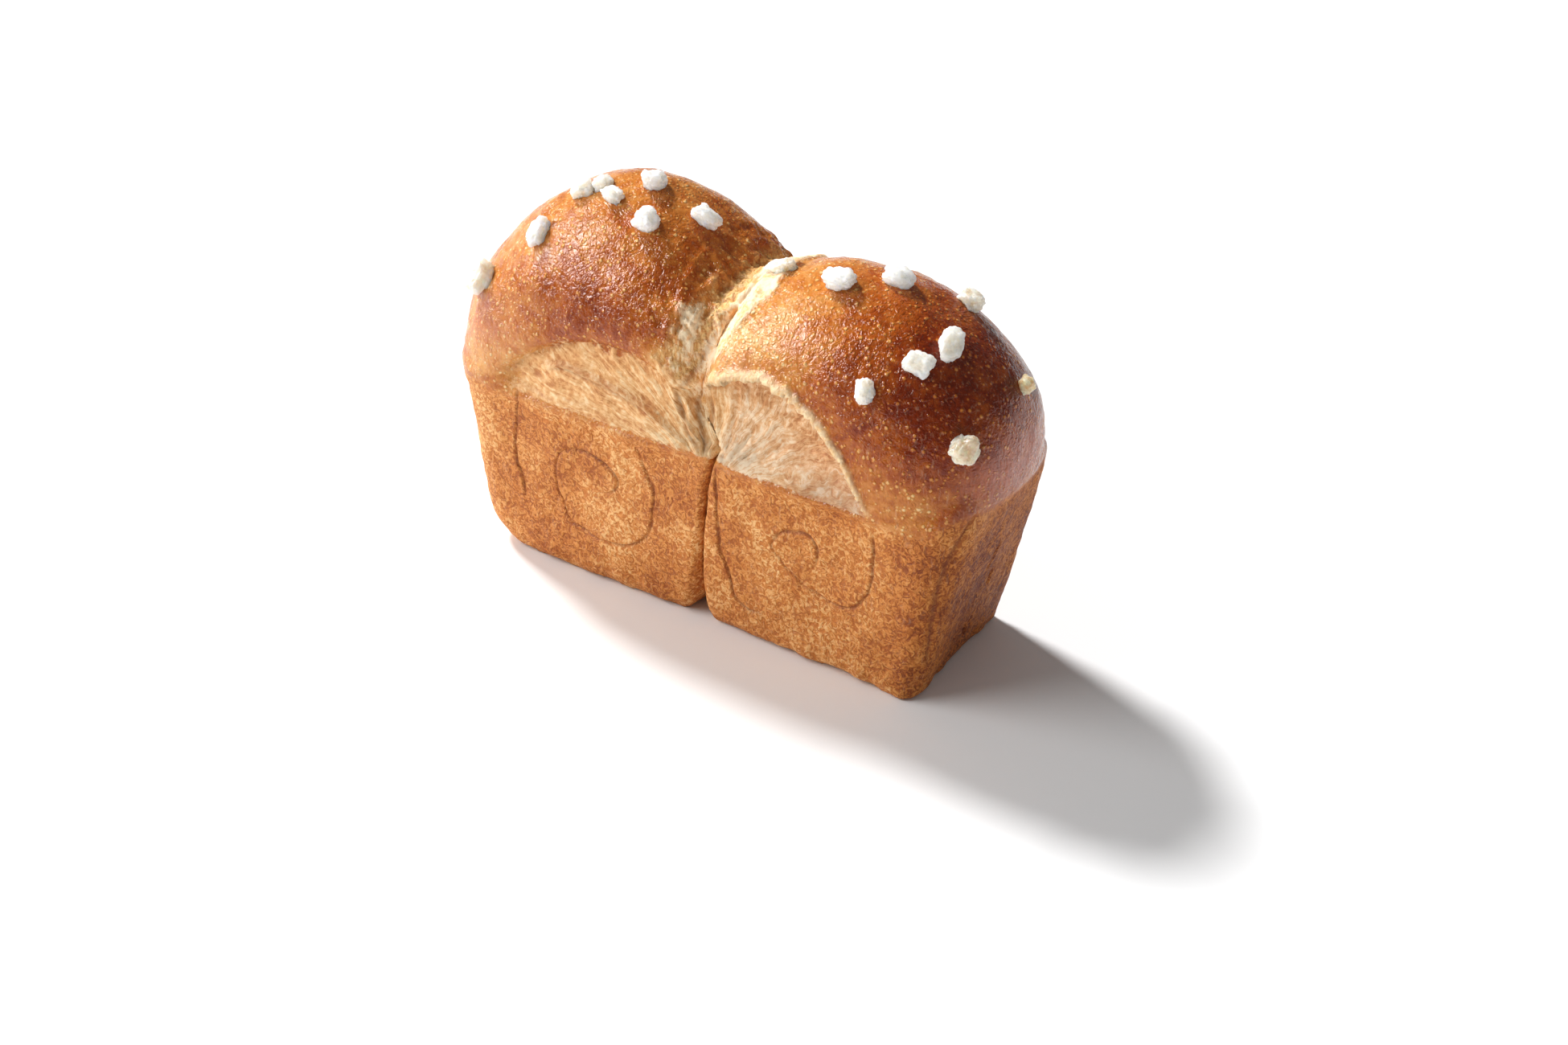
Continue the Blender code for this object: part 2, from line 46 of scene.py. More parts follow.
# The baked block, as the tin shaped it
RIM_LENGTH = 115.0 * MM
BASE_LENGTH = 100.1 * MM
RIM_WIDTH = 38.8 * MM
BASE_WIDTH = 36.0 * MM
RIM_HEIGHT = 37.2 * MM
RIM_CORNER = 10.4 * MM
BASE_CORNER = 6.7 * MM
BASE_EDGE = 3.0 * MM
LEFT_BASE_EDGE = 6.5 * MM
LEFT_BASE_FROM = 40.0 * MM
# The right end filled the corners of the tin better, so its corners are crisper
RIGHT_BASE_EDGE = 1.8 * MM
RIGHT_RIM_CORNER = 8.5 * MM
RIGHT_BASE_CORNER = 3.0 * MM
RIGHT_FROM = 40.0 * MM

# How far the risen crown stands out over the rim, and how it meets the block:
# with a fold at the two ends, smoothly at the four corners
BULGE_END = 2.4 * MM
BULGE_SIDE = 2.2 * MM
BULGE_CORNER = 12.0 * MM
BULGE_BLEND = 5.0 * MM
CROWN_OVERLAP = 2.0 * MM
LOBE_BLEND = 2.0 * MM
FOLD_BLEND = 1.5 * MM
CORNER_BLEND = 2.8 * MM
CORNER_FROM = (40.0 * MM, 11.0 * MM)
CORNER_RAMP = 5.0 * MM
CROWN_SCALE = 24.0 * MM

# Each risen lobe: its centre, its reach each way, and how square it is
LEFT_LOBE = {
    "centre": (-21.7 * MM, 2.1 * MM, 40.3 * MM),
    "left": 39.4 * MM,
    "right": 33.7 * MM,
    "front": 27.4 * MM,
    "back": 27.2 * MM,
    "above": 38.4 * MM,
    "below": 24.2 * MM,
    "plan_power": 2.63,
    "rise_power": 1.70,
}
RIGHT_LOBE = {
    "centre": (28.1 * MM, 0.0, 44.4 * MM),
    "left": 40.8 * MM,
    "right": 33.3 * MM,
    "front": 24.5 * MM,
    "back": 23.6 * MM,
    "above": 29.2 * MM,
    "below": 21.4 * MM,
    "plan_power": 2.30,
    "rise_power": 1.85,
}

# The line where the lobes meet, as x at a height, on the front and on the back
SEAM_HEIGHTS = (0.0, 20 * MM, 30 * MM, 38 * MM, 47 * MM, 55 * MM, 62 * MM, 69 * MM)
SEAM_FRONT = (2.5 * MM, 4.0 * MM, 4.7 * MM, 6.6 * MM, 1.2 * MM, 1.8 * MM, 4.2 * MM, 7.4 * MM)
SEAM_BACK = (2.2 * MM, 1.4 * MM, 1.6 * MM, 2.2 * MM, 4.6 * MM, 5.6 * MM, 6.6 * MM, 7.4 * MM)
SEAM_NOTCH_HEIGHT = 17.0 * MM
SEAM_NOTCH_HALF = 2.3 * MM
SEAM_HALF = 0.8 * MM
SEAM_NOTCH_DEPTH = 6.0 * MM
SEAM_DEPTH = 2.4 * MM
VALLEY_HALF = 3.6 * MM
VALLEY_DEPTH = 4.2 * MM
VALLEY_START = 6.0 * MM
VALLEY_RAMP = 12.0 * MM

# Torn hollows where the lobes rose over the rim: the top of each is an arch
# with its own reach to the left and right, and it ends at a given x
SHRED_FOOT = 36.9 * MM
ARCH_POWER = 0.75
SHREDS = (
    {"side": -1, "peak": -16.0 * MM, "left": 27.0 * MM, "right": 22.5 * MM,
     "height": 15.8 * MM, "from": -39.4 * MM, "to": 6.5 * MM,
     "depth": 1.0 * MM, "blend": 3.6 * MM},
    {"side": -1, "peak": 16.5 * MM, "left": 21.5 * MM, "right": 22.8 * MM,
     "height": 19.0 * MM, "from": 2.4 * MM, "to": 41.0 * MM,
     "depth": 4.2 * MM, "blend": 0.5 * MM},
    {"side": 1, "peak": -22.0 * MM, "left": 23.0 * MM, "right": 30.0 * MM,
     "height": 18.0 * MM, "from": -43.0 * MM, "to": 1.8 * MM,
     "depth": 2.8 * MM, "blend": 0.8 * MM},
    {"side": 1, "peak": 24.0 * MM, "left": 26.0 * MM, "right": 24.0 * MM,
     "height": 15.5 * MM, "from": 3.5 * MM, "to": 44.0 * MM,
     "depth": 1.6 * MM, "blend": 2.4 * MM},
)
SHRED_RAMP = 9.0 * MM
DEEP_HOLLOW = 2.0 * MM

# Creases that the rolled dough leaves on the tin faces, cut in and darkened with painted shade, as
# (x, z) along each
LEFT_WRAP = ((-38.4, 44.0), (-39.0, 35.8), (-40.2, 26.4), (-39.6, 21.0), (-38.8, 15.8),
             (-38.6, 12.7))
LEFT_ROLL = ((-12.8, 36.2), (-8.0, 28.5), (-7.0, 22.8), (-8.2, 15.8), (-13.5, 11.0),
             (-21.2, 10.2), (-26.5, 11.4), (-28.9, 14.9), (-30.2, 20.7), (-29.4, 25.7),
             (-26.9, 28.2), (-22.5, 29.0), (-19.3, 28.1), (-16.1, 26.2), (-15.6, 23.6),
             (-17.6, 21.4), (-20.0, 20.6))
RIGHT_WRAP = ((7.1, 36.6), (7.7, 22.2), (9.0, 16.8), (11.4, 9.6), (14.4, 7.0), (18.4, 7.3))
RIGHT_ROLL = ((40.0, 35.9), (40.9, 26.0), (39.2, 18.8), (34.9, 15.3), (28.0, 16.2), (21.4, 20.3),
              (19.9, 23.8), (21.8, 27.1), (25.9, 28.4), (28.6, 26.9), (28.9, 23.4), (27.6, 19.8))
FRONT_CREASES = (LEFT_WRAP, LEFT_ROLL, RIGHT_WRAP, RIGHT_ROLL)
# The back shows the other ends of the same rolls, seen mirrored and a little higher
BACK_SHIFT = (3.0, 1.5)
CREASE_DEPTH = 0.38 * MM
CREASE_HALF = 0.28 * MM
CREASE_STEP = 0.12 * MM
CREASE_STEP_REACH = 3.5 * MM
CREASE_TOP = 37.5 * MM
CREASE_WANDER = 0.35 * MM
CREASE_WANDER_SIZES = (3 * MM, 1.0, 3 * MM)
CREASE_FADE_SIZES = (2 * MM, 1.0, 2 * MM)

# Unevenness of the crust, from broad waves to small wrinkles
WAVE_SIZE = 15.0 * MM
WAVE_HEIGHT = 0.45 * MM
LUMP_SIZE = 5.0 * MM
LUMP_HEIGHT = 0.22 * MM
WRINKLE_SIZES = (1.9 * MM, 0.95 * MM)
WRINKLE_HEIGHTS = (0.085 * MM, 0.07 * MM)
CRAG_SIZE = 3.6 * MM
CRAG_HEIGHT = 0.65 * MM
CRAG_REACH = 15.0 * MM
CRAG_FLOOR = 56.0 * MM
PIMPLE_SIZE = 1.3 * MM
PIMPLE_HEIGHT = 0.13 * MM
BASE_RAGGED = 0.5 * MM
BASE_RAGGED_SIZE = 3.0 * MM
BASE_RAGGED_TOP = 7.0 * MM
RIM_WANDER = 0.6 * MM
RIM_WANDER_SIZE = 4.0 * MM
RIM_FADE = 1.8 * MM

# Strands of the torn dough: width, length and height of each order of strand
STRANDS = (
    (2.6 * MM, 11.0 * MM, 0.32 * MM),
    (1.2 * MM, 7.0 * MM, 0.20 * MM),
    (0.6 * MM, 4.0 * MM, 0.12 * MM),
)
FIBRE_FOCUS = (7.6 * MM, 33.0 * MM)
FIBRE_TURN = 26.0 * MM

# The torn edge of the crust over the hollows, and the pale band in the valley
LIP_RAGGED = 0.6 * MM
LIP_RAGGED_SIZE = 1.1 * MM
LIP_WIDTH = 2.6 * MM
LIP_HEIGHT = 0.55 * MM
BAND_FROM = -2.4 * MM
BAND_TO = (2.4 * MM, 5.2 * MM)
BAND_FLOOR = 46.0 * MM
BAND_TOP = 67.0 * MM
BAND_HEIGHT = 0.5 * MM
TEAR = ((-2.0, -15.2, 58.6), (3.0, 4.2, 6.4))
CRUMB_HEIGHT = 1.1 * MM
CRUMB_SIZE = 0.9 * MM
BANK_REACH = 9.5 * MM
BANK_FLOOR = 48.0 * MM
PULLED_RISE = 4.5 * MM
PULLED_REACH = 15.0 * MM
FRAY_HEIGHT = 1.6 * MM
FRAY_SIZES = (1.1 * MM, 3 * MM, 4 * MM)
BANK_RAGGED = 2.0 * MM
BANK_RAGGED_SIZES = (2 * MM, 2 * MM, 3 * MM)
TEAR_SIZES = ((1.1 * MM, 1.6 * MM, 2.6 * MM), (0.6 * MM, 0.9 * MM, 1.2 * MM))

# Folds of pulled dough in the valley, as (x, z) along each, with height and half width
VALLEY_FOLDS = (
    (((-1.2, 49.0), (0.2, 52.0), (1.8, 56.0), (2.9, 59.0), (4.0, 61.0)), 1.3 * MM, 1.2 * MM),
    (((-1.2, 48.5), (-0.4, 45.2), (1.3, 40.1), (3.9, 36.7)), 0.7 * MM, 0.6 * MM),
    (((1.6, 47.6), (2.9, 44.0), (4.3, 40.3), (4.8, 37.9)), 0.8 * MM, 0.65 * MM),
    (((-4.0, 51.0), (-2.4, 46.0), (0.4, 40.5), (3.0, 37.2)), 0.45 * MM, 0.5 * MM),
)
# Gaps between the folds of the valley, cut in and darkened with painted shade, as (x, z)
VALLEY_GAPS = (
    ((-2.2, 48.4), (-1.0, 51.0), (0.4, 54.5), (1.2, 57.6), (2.2, 60.4)),
    ((-2.8, 49.0), (-1.4, 45.0), (0.6, 40.6), (3.0, 37.6)),
    ((0.2, 47.4), (1.4, 43.6), (3.0, 39.8), (4.6, 37.4)),
    ((3.4, 48.0), (4.2, 44.2), (5.2, 40.4), (5.8, 37.6)),
)
# The ledge of the upper layer of dough in the soft hollow, as (x, z)
LEDGE = ((-35.0, 43.2), (-28.7, 46.0), (-22.6, 45.7), (-15.1, 44.7), (-7.9, 42.8),
         (-1.2, 39.6), (2.3, 37.6))
# Painted shadow under that ledge, as (x, z)
LEDGE_SHADE = ((-33.0, 43.0), (-28.0, 45.2), (-22.6, 44.9), (-15.1, 43.9), (-7.9, 42.0),
               (-2.0, 39.4))
LEDGE_HEIGHT = 1.3 * MM
LEDGE_REACH = 3.5 * MM
LEDGE_EDGE = 0.7 * MM

# Creases of the right end, cut in and darkened with painted shade, as (y, z) along each
END_EDGE = ((-12.5, 41.5), (-14.6, 38.0), (-16.2, 33.5), (-16.9, 27.0), (-16.8, 20.0),
            (-16.0, 12.0), (-15.6, 8.0))
END_SLIT = ((1.6, 28.0), (0.5, 25.0), (0.9, 21.0))
END_NICK = ((3.8, 19.5), (3.1, 16.0))
END_PIT = ((-1.2, 8.6), (0.3, 5.6))
END_CREASES = (END_EDGE, END_SLIT, END_NICK, END_PIT)

# How much higher the crown folds over on the right end
END_FOLD_RISE = 4.2 * MM
END_FOLD_FROM = 50.0 * MM
END_FOLD_RAMP = 6.0 * MM

# Where the loaf's own frame has its origin: the middle of its base
LOAF_MIDDLE = (0.171 * MM, 1.374 * MM, 0.0)

# Faces of the block the crust is cast from: cuts along x, y and z, in two rounds each
BLOCK_CUTS = ((2, 71), (1, 49), (1, 84))

# Broad parts of the crust that baked darker or paler than the rest:
# middle and reach in mm, and what each adds to the bake
BAKE_ZONES = (
    ((46.0, -6.0, 58.0), (12.0, 18.0, 14.0), 0.40),     # right lobe, toward its end
    ((10.0, -12.0, 60.0), (8.0, 14.0, 9.0), -0.20),     # right lobe, beside the valley
    ((-22.0, -18.0, 58.0), (14.0, 10.0, 8.0), 0.20),    # left lobe, low on its front
    ((-6.0, -6.0, 68.0), (8.0, 14.0, 8.0), 0.10),       # left lobe, above the valley
    ((-42.0, -6.0, 62.0), (12.0, 16.0, 12.0), -0.05),   # left lobe, toward its end
    ((-35.0, -21.0, 44.0), (14.0, 5.0, 5.0), -0.15),    # lip of the front left hollow
    ((-2.0, -20.0, 50.0), (6.0, 5.0, 5.0), -0.20),      # where the lips meet
    ((44.0, -21.0, 42.0), (7.0, 5.0, 5.0), -0.20),      # lip of the front right hollow
    # The tin side at the right end is darker from its bake and from painted shade.
    ((55.0, 0.0, 14.0), (6.0, 20.0, 14.0), 0.40),       # tin side at the right end
)
BAKE_ELSEWHERE = 0.50
# Melted sugar beside lumps: middle in mm, and reach
CARAMEL_SPOTS = (
    ((56.0, -12.0, 52.4), 2.4), ((51.8, -13.8, 55.6), 1.8), ((55.4, -0.8, 59.8), 2.2),
    ((56.6, 6.4, 56.6), 1.8), ((12.4, -1.0, 70.6), 1.2), ((-35.8, -11.0, 69.2), 0.8),
)
# Painted mauve sheen, a reflection painted into the colour: middle and reach in mm, and the share
# of it
PAINTED_SHEEN_SPOTS = (
    ((58.0, 0.0, 46.0), (4.0, 16.0, 6.0), 0.50), ((-45.0, -20.0, 50.0), (8.0, 8.0, 6.0), 0.22),
    ((10.0, -18.0, 57.0), (4.0, 5.0, 3.0), 0.20), ((-57.0, 0.0, 46.0), (5.0, 16.0, 6.0), 0.30),
    ((-20.0, 20.0, 56.0), (12.0, 6.0, 5.0), 0.25),
)

# Rays that find the crust start from an upright plate inside the loaf
PLATE_HALF = 34.0 * MM
PLATE_FOOT = 12.0 * MM
PLATE_TOP = 52.0 * MM
BLOCK_HALF_Y = 20.0 * MM
RAY_REACH = 38.0 * MM
RAY_STEP = 1.0 * MM
RAY_HALVINGS = 14
FLAT_BAND = 0.35 * MM

# Pearl sugar: where each lies on the crust, its length and width, and its turn
SUGAR_SHOWN = (
    ((-32.9, -5.4, 74.4), 4.8, 3.8, 20), ((-29.4, -3.9, 76.1), 3.6, 3.3, 60),
    ((-25.7, -5.8, 75.5), 4.4, 2.9, -15), ((-20.3, -0.6, 78.1), 4.4, 4.2, 50),
    ((-16.6, -8.0, 74.1), 5.0, 4.4, 10), ((-9.0, -0.8, 74.1), 5.2, 3.6, 5),
    ((-37.9, -12.3, 67.5), 5.4, 3.9, 75), ((-49.8, -14.8, 55.9), 6.4, 5.2, 40),
    ((10.0, -3.2, 69.4), 5.6, 4.0, 10), ((23.5, -5.9, 72.3), 6.2, 4.6, 0),
    ((32.0, -0.8, 73.2), 5.8, 3.8, 10), ((42.3, 6.4, 69.2), 4.8, 4.0, -20),
    ((46.0, -6.9, 67.1), 6.4, 3.8, -65), ((43.3, -12.6, 65.1), 5.0, 4.2, 10),
    ((36.8, -18.5, 60.3), 4.4, 3.2, -60), ((56.0, 2.7, 58.6), 3.4, 3.2, 0),
    ((54.0, -14.5, 53.2), 5.2, 5.0, 30),
)
SUGAR_BEHIND = (
    ((-38.0, 18.0, 62.0), 5.6, 4.2, 30), ((-24.0, 19.0, 66.0), 5.0, 4.4, -20),
    ((-9.0, 20.0, 60.0), 6.2, 3.8, 65), ((-48.0, 14.0, 56.0), 5.4, 4.0, 10),
    ((-18.0, 23.0, 56.0), 5.8, 4.6, 45), ((16.0, 16.0, 62.0), 5.2, 4.0, -35),
    ((28.0, 19.0, 58.0), 6.4, 4.4, 15), ((38.0, 18.0, 56.0), 5.0, 4.2, 80),
    ((45.0, 18.0, 50.0), 5.6, 3.8, -10),
)
# How toasted some of the lumps are, by their number in the row above
SUGAR_TOAST = {0: 0.2, 1: 0.2, 2: 0.2, 7: 0.25, 8: 0.35, 11: 0.3, 12: 0.15, 13: 0.15,
               14: 0.2, 15: 0.8, 16: 0.55}
SUGAR_RISE = 0.85
SUGAR_SINK = 0.22
SUGAR_SEED = 11
# Bumps on a lump, from broad to fine: how many over its radius, and how deep each is
SUGAR_GRAIN = ((1.4, 0.24), (3.1, 0.13), (6.5, 0.06), (13, 0.03))


def smooth_min(a, b, blend):
    """The smaller of two fields, rounded over where they are close."""
    h = np.clip(0.5 + 0.5 * (b - a) / blend, 0.0, 1.0)
    return b * (1 - h) + a * h - blend * h * (1 - h)


def smooth_max(a, b, blend):
    return -smooth_min(-a, -b, blend)


def ease(t):
    """0 below 0, 1 above 1, and smooth between."""
    t = np.clip(t, 0.0, 1.0)
    return t * t * (3 - 2 * t)


def lattice_noise(x, y, z, seed):
    """Smooth noise between -1 and 1, with one feature for each unit of x, y and z."""
    cell = [np.floor(v).astype(np.int64) for v in (x, y, z)]
    part = [v - c for v, c in zip((x, y, z), cell)]
    fade = [p * p * p * (p * (p * 6 - 15) + 10) for p in part]
    total = np.zeros_like(x)
    for corner in range(8):
        step = (corner & 1, corner >> 1 & 1, corner >> 2 & 1)
        key = (cell[0] + step[0]) * 73856093 ^ (cell[1] + step[1]) * 19349663
        key = key ^ (cell[2] + step[2]) * 83492791 ^ seed * 2654435761
        key = (key ^ key >> 13) * 1274126177 & 0x7FFFFFFF
        value = ((key ^ key >> 16) & 0xFFFF) / 32767.5 - 1.0
        weight = 1.0
        for f, s in zip(fade, step):
            weight = weight * (f if s else 1 - f)
        total += value * weight
    return total


def uneven(points, sizes, seed):
    """Smooth noise between -1 and 1 on points, with features of one size or of one each way."""
    return lattice_noise(*(points / sizes).T, seed)


def between(low, high, share):
    """From the low value at share 0 to the high one at share 1."""
    return low + (high - low) * share


def seam_x(y, z):
    """x of the line where the lobes meet."""
    front = np.interp(z, SEAM_HEIGHTS, SEAM_FRONT)
    back = np.interp(z, SEAM_HEIGHTS, SEAM_BACK)
    share = ease(y / RIM_WIDTH + 0.5)
    return front * (1 - share) + back * share


def end_fold(x):
    """How much higher the crown folds over, which is only on the right end."""
    return END_FOLD_RISE * ease((x - END_FOLD_FROM) / END_FOLD_RAMP)


def tin_half_sizes(z):
    share = np.minimum(z / RIM_HEIGHT, 1.0)
    return between(BASE_LENGTH, RIM_LENGTH, share) / 2, between(BASE_WIDTH, RIM_WIDTH, share) / 2


def rounded_corner(out_a, out_b, radius):
    """Distance past two faces at a right angle, with the edge between them rounded."""
    a, b = out_a + radius, out_b + radius
    return np.hypot(np.maximum(a, 0), np.maximum(b, 0)) + np.minimum(np.maximum(a, b), 0) - radius


def tin_block(x, y, z):
    """The flared block with rounded corners, and the notch between the lobes cut in."""
    half_x, half_y = tin_half_sizes(z)
    share = np.clip(z / RIM_HEIGHT, 0, 1)
    corner = between(BASE_CORNER, RIM_CORNER, share)
    right_corner = between(RIGHT_BASE_CORNER, RIGHT_RIM_CORNER, share)
    at_right = ease((x - RIGHT_FROM) / (4 * MM))
    corner = between(corner, right_corner, at_right)
    plan = rounded_corner(np.abs(x) - half_x, np.abs(y) - half_y, corner)
    edge = between(BASE_EDGE, LEFT_BASE_EDGE, ease((-x - LEFT_BASE_FROM) / (8 * MM)))
    edge = edge + (RIGHT_BASE_EDGE - BASE_EDGE) * at_right
    block = rounded_corner(plan, -z, edge)
    block = smooth_max(block, z - RIM_HEIGHT - end_fold(x) - CROWN_OVERLAP / 2, CROWN_OVERLAP)
    low = np.clip(1 - z / SEAM_NOTCH_HEIGHT, 0, 1) ** 1.6
    half = between(SEAM_HALF, SEAM_NOTCH_HALF, low)
    depth = between(SEAM_DEPTH, SEAM_NOTCH_DEPTH, low)
    notch = half * (1 + block / depth) - np.abs(x - seam_x(y, z))
    return smooth_max(block, notch, (0.8 + 1.6 * low) * MM)


def risen_lobe(lobe, x, y, z):
    """One lobe above the rim, as a squared ellipsoid with its own reach each way."""
    cx, cy, cz = lobe["centre"]
    across = np.where(x < cx, lobe["left"], lobe["right"])
    through = np.where(y < cy, lobe["front"], lobe["back"])
    upward = np.where(z < cz, lobe["below"], lobe["above"])
    plan, rise = lobe["plan_power"], lobe["rise_power"]
    flat = np.abs((x - cx) / across) ** plan + np.abs((y - cy) / through) ** plan
    reach = flat ** (rise / plan) + np.abs((z - cz) / upward) ** rise
    return (reach ** (1 / rise) - 1) * CROWN_SCALE


def shred_arch(shred, x):
    """Height of the crust's torn edge over a hollow, ragged over a deep one."""
    reach = np.where(x < shred["peak"], shred["left"], shred["right"])
    share = np.clip(1 - ((x - shred["peak"]) / reach) ** 2, 0, 1)
    rough = LIP_RAGGED * ease((shred["depth"] - DEEP_HOLLOW) / MM)
    return SHRED_FOOT + shred["height"] * share ** ARCH_POWER + rough * ragged(x, 61)


def shred_inside(shred, x, z, raised=0.0):
    """Distance inside the outline of a hollow, seen from the front or the back."""
    inside = np.minimum(z - SHRED_FOOT, 0.8 * (shred_arch(shred, x) + raised - z))
    slope = 0.4 if shred["depth"] < DEEP_HOLLOW else 1.0
    return np.minimum(inside, slope * np.minimum(x - shred["from"], shred["to"] - x))


def crown(x, y, z):
    """Both lobes over the rim, the valley between them and the torn hollows."""
    both = smooth_min(risen_lobe(LEFT_LOBE, x, y, z), risen_lobe(RIGHT_LOBE, x, y, z), LOBE_BLEND)
    past_end = np.abs(x) - RIM_LENGTH / 2 - BULGE_END
    past_side = np.abs(y) - RIM_WIDTH / 2 - BULGE_SIDE
    both = smooth_max(both, rounded_corner(past_end, past_side, BULGE_CORNER), BULGE_BLEND)
    open_side = ease((np.abs(y) - VALLEY_START) / VALLEY_RAMP)
    valley = VALLEY_HALF * (open_side + both / VALLEY_DEPTH) - np.abs(x - seam_x(y, z))
    both = smooth_max(both, valley, 1.2 * MM)
    for shred in SHREDS:
        rise = ease((z - SHRED_FOOT) / SHRED_RAMP)
        face = RIM_WIDTH / 2 - shred["depth"] * rise
        cut = np.minimum(shred_inside(shred, x, z), y * shred["side"] - face)
        both = smooth_max(both, cut, shred["blend"])
    return smooth_max(both, RIM_HEIGHT - CROWN_OVERLAP + end_fold(x) - z, FOLD_BLEND)


def loaf_field(x, y, z):
    """Below zero inside the loaf."""
    at_corner = ease((np.abs(x) - CORNER_FROM[0]) / CORNER_RAMP)
    at_corner = at_corner * ease((np.abs(y) - CORNER_FROM[1]) / CORNER_RAMP)
    blend = between(FOLD_BLEND, CORNER_BLEND, at_corner)
    return smooth_min(tin_block(x, y, z), crown(x, y, z), blend)


def cast_on_crust(points):
    """Moves points along rays from the plate inside the loaf onto its crust."""
    start = points.copy()
    start[:, 0] = np.clip(points[:, 0], -PLATE_HALF, PLATE_HALF)
    start[:, 1] = 0.0
    start[:, 2] = np.clip(points[:, 2], PLATE_FOOT, PLATE_TOP)
    way = points - start
    way /= np.linalg.norm(way, axis=1)[:, None]
    outer = np.full(len(points), RAY_REACH)
    waiting = np.arange(len(points))
    while len(waiting):
        step = start[waiting] + way[waiting] * (outer[waiting] - RAY_STEP)[:, None]
        met = (loaf_field(*step.T) < 0) | (outer[waiting] < 2 * RAY_STEP)
        outer[waiting[~met]] -= RAY_STEP
        waiting = waiting[~met]
    inner = outer - RAY_STEP
    for _ in range(RAY_HALVINGS):
        middle = (inner + outer) / 2
        inside = loaf_field(*(start + way * middle[:, None]).T) < 0
        inner = np.where(inside, middle, inner)
        outer = np.where(inside, outer, middle)
    return start + way * inner[:, None]


def crust_normals(points, span=0.6 * MM):
    """Outward direction of the crust at each point."""
    slope = np.empty_like(points)
    for axis in range(3):
        shift = np.zeros(3)
        shift[axis] = span
        slope[:, axis] = loaf_field(*(points + shift).T) - loaf_field(*(points - shift).T)
    return slope / np.linalg.norm(slope, axis=1)[:, None]


def smooth_path(corners, steps=6):
    """Points in metres along a smooth curve through corners given in millimetres."""
    ends = [corners[0]] + list(corners) + [corners[-1]]
    path = []
    for a, b, c, d in zip(ends, ends[1:], ends[2:], ends[3:]):
        for k in range(steps):
            t = k / steps
            path.append([((2 * q) + (r - p) * t + (2 * p - 5 * q + 4 * r - s) * t * t
                          + (3 * q - p - 3 * r + s) * t ** 3) / 2 * MM
                         for p, q, r, s in zip(a, b, c, d)])
    path.append([v * MM for v in corners[-1]])
    return np.array(path)


def block_points(unit):
    """Points of a cube from -1 to 1, spread over the block that the rays pass through."""
    end_reach = RIM_LENGTH / 2 - PLATE_HALF
    along = unit[:, 0] * (PLATE_HALF + end_reach * math.pi / 4)
    past = np.maximum(np.abs(along) - PLATE_HALF, 0)
    bent = end_reach * np.tan(past / end_reach)
    x = np.clip(along, -PLATE_HALF, PLATE_HALF) + np.sign(along) * bent
    y = BLOCK_HALF_Y * np.tan(0.6 * unit[:, 1]) / math.tan(0.6)
    up = (unit[:, 2] + 1) / 2 * (PLATE_TOP + BLOCK_HALF_Y * math.pi / 4)
    over = np.maximum(up - PLATE_TOP, 0)
    z = np.minimum(up, PLATE_TOP) + BLOCK_HALF_Y * np.tan(over / BLOCK_HALF_Y)
    return np.stack([x, y, z], axis=1)


def ragged(x, seed):
    """Uneven line along x, between -1 and 1."""
    still = np.zeros_like(x)
    coarse = lattice_noise(x / (2.6 * LIP_RAGGED_SIZE), still, still, seed)
    fine = lattice_noise(x / LIP_RAGGED_SIZE, still, still, seed + 1)
    return 0.6 * coarse + 0.6 * fine


def line_over(across, up, path, fade_in, fade_out):
    """Distance to a line, the side of it, and a share that dies out at its two ends."""
    near = np.full(len(across), 1.0)
    side = np.zeros(len(across))
    along = np.zeros(len(across))
    for k, (a, b) in enumerate(zip(path, path[1:])):
        run = b - a
        share = np.clip(((across - a[0]) * run[0] + (up - a[1]) * run[1]) / (run @ run), 0, 1)
        gap_x = across - a[0] - run[0] * share
        gap_z = up - a[1] - run[1] * share
        distance = np.hypot(gap_x, gap_z)
        closer = distance < near
        near = np.where(closer, distance, near)
        side = np.where(closer, np.sign(run[1] * gap_x - run[0] * gap_z), side)
        along = np.where(closer, (k + share) / (len(path) - 1), along)
    return near, side, ease(along / fade_in) * ease((1 - along) / fade_out)


def bell(near, half):
    """1 on a line, falling smoothly to the sides of it."""
    return np.exp(-(near / half) ** 2)


def valley_folds(points):
    """Height of the pulled folds in the valley and of the ledge in the soft hollow."""
    x, y, z = points.T
    height = np.zeros(len(points))
    near_valley = (y < -6 * MM) & (np.abs(x) < 12 * MM) & (z > 34 * MM)
    for corners, rise, half in VALLEY_FOLDS:
        near, _, ends = line_over(x[near_valley], z[near_valley], smooth_path(corners), 0.2, 0.2)
        height[near_valley] += rise * bell(near, half) * ends
    rows = (y < -10 * MM) & (x < 6 * MM) & (z > SHRED_FOOT)
    near, side, ends = line_over(x[rows], z[rows], smooth_path(LEDGE), 0.15, 0.15)
    above = ease(0.5 + side * near / LEDGE_EDGE)
    height[rows] += LEDGE_HEIGHT * ends * above * np.exp(-near / LEDGE_REACH)
    return height


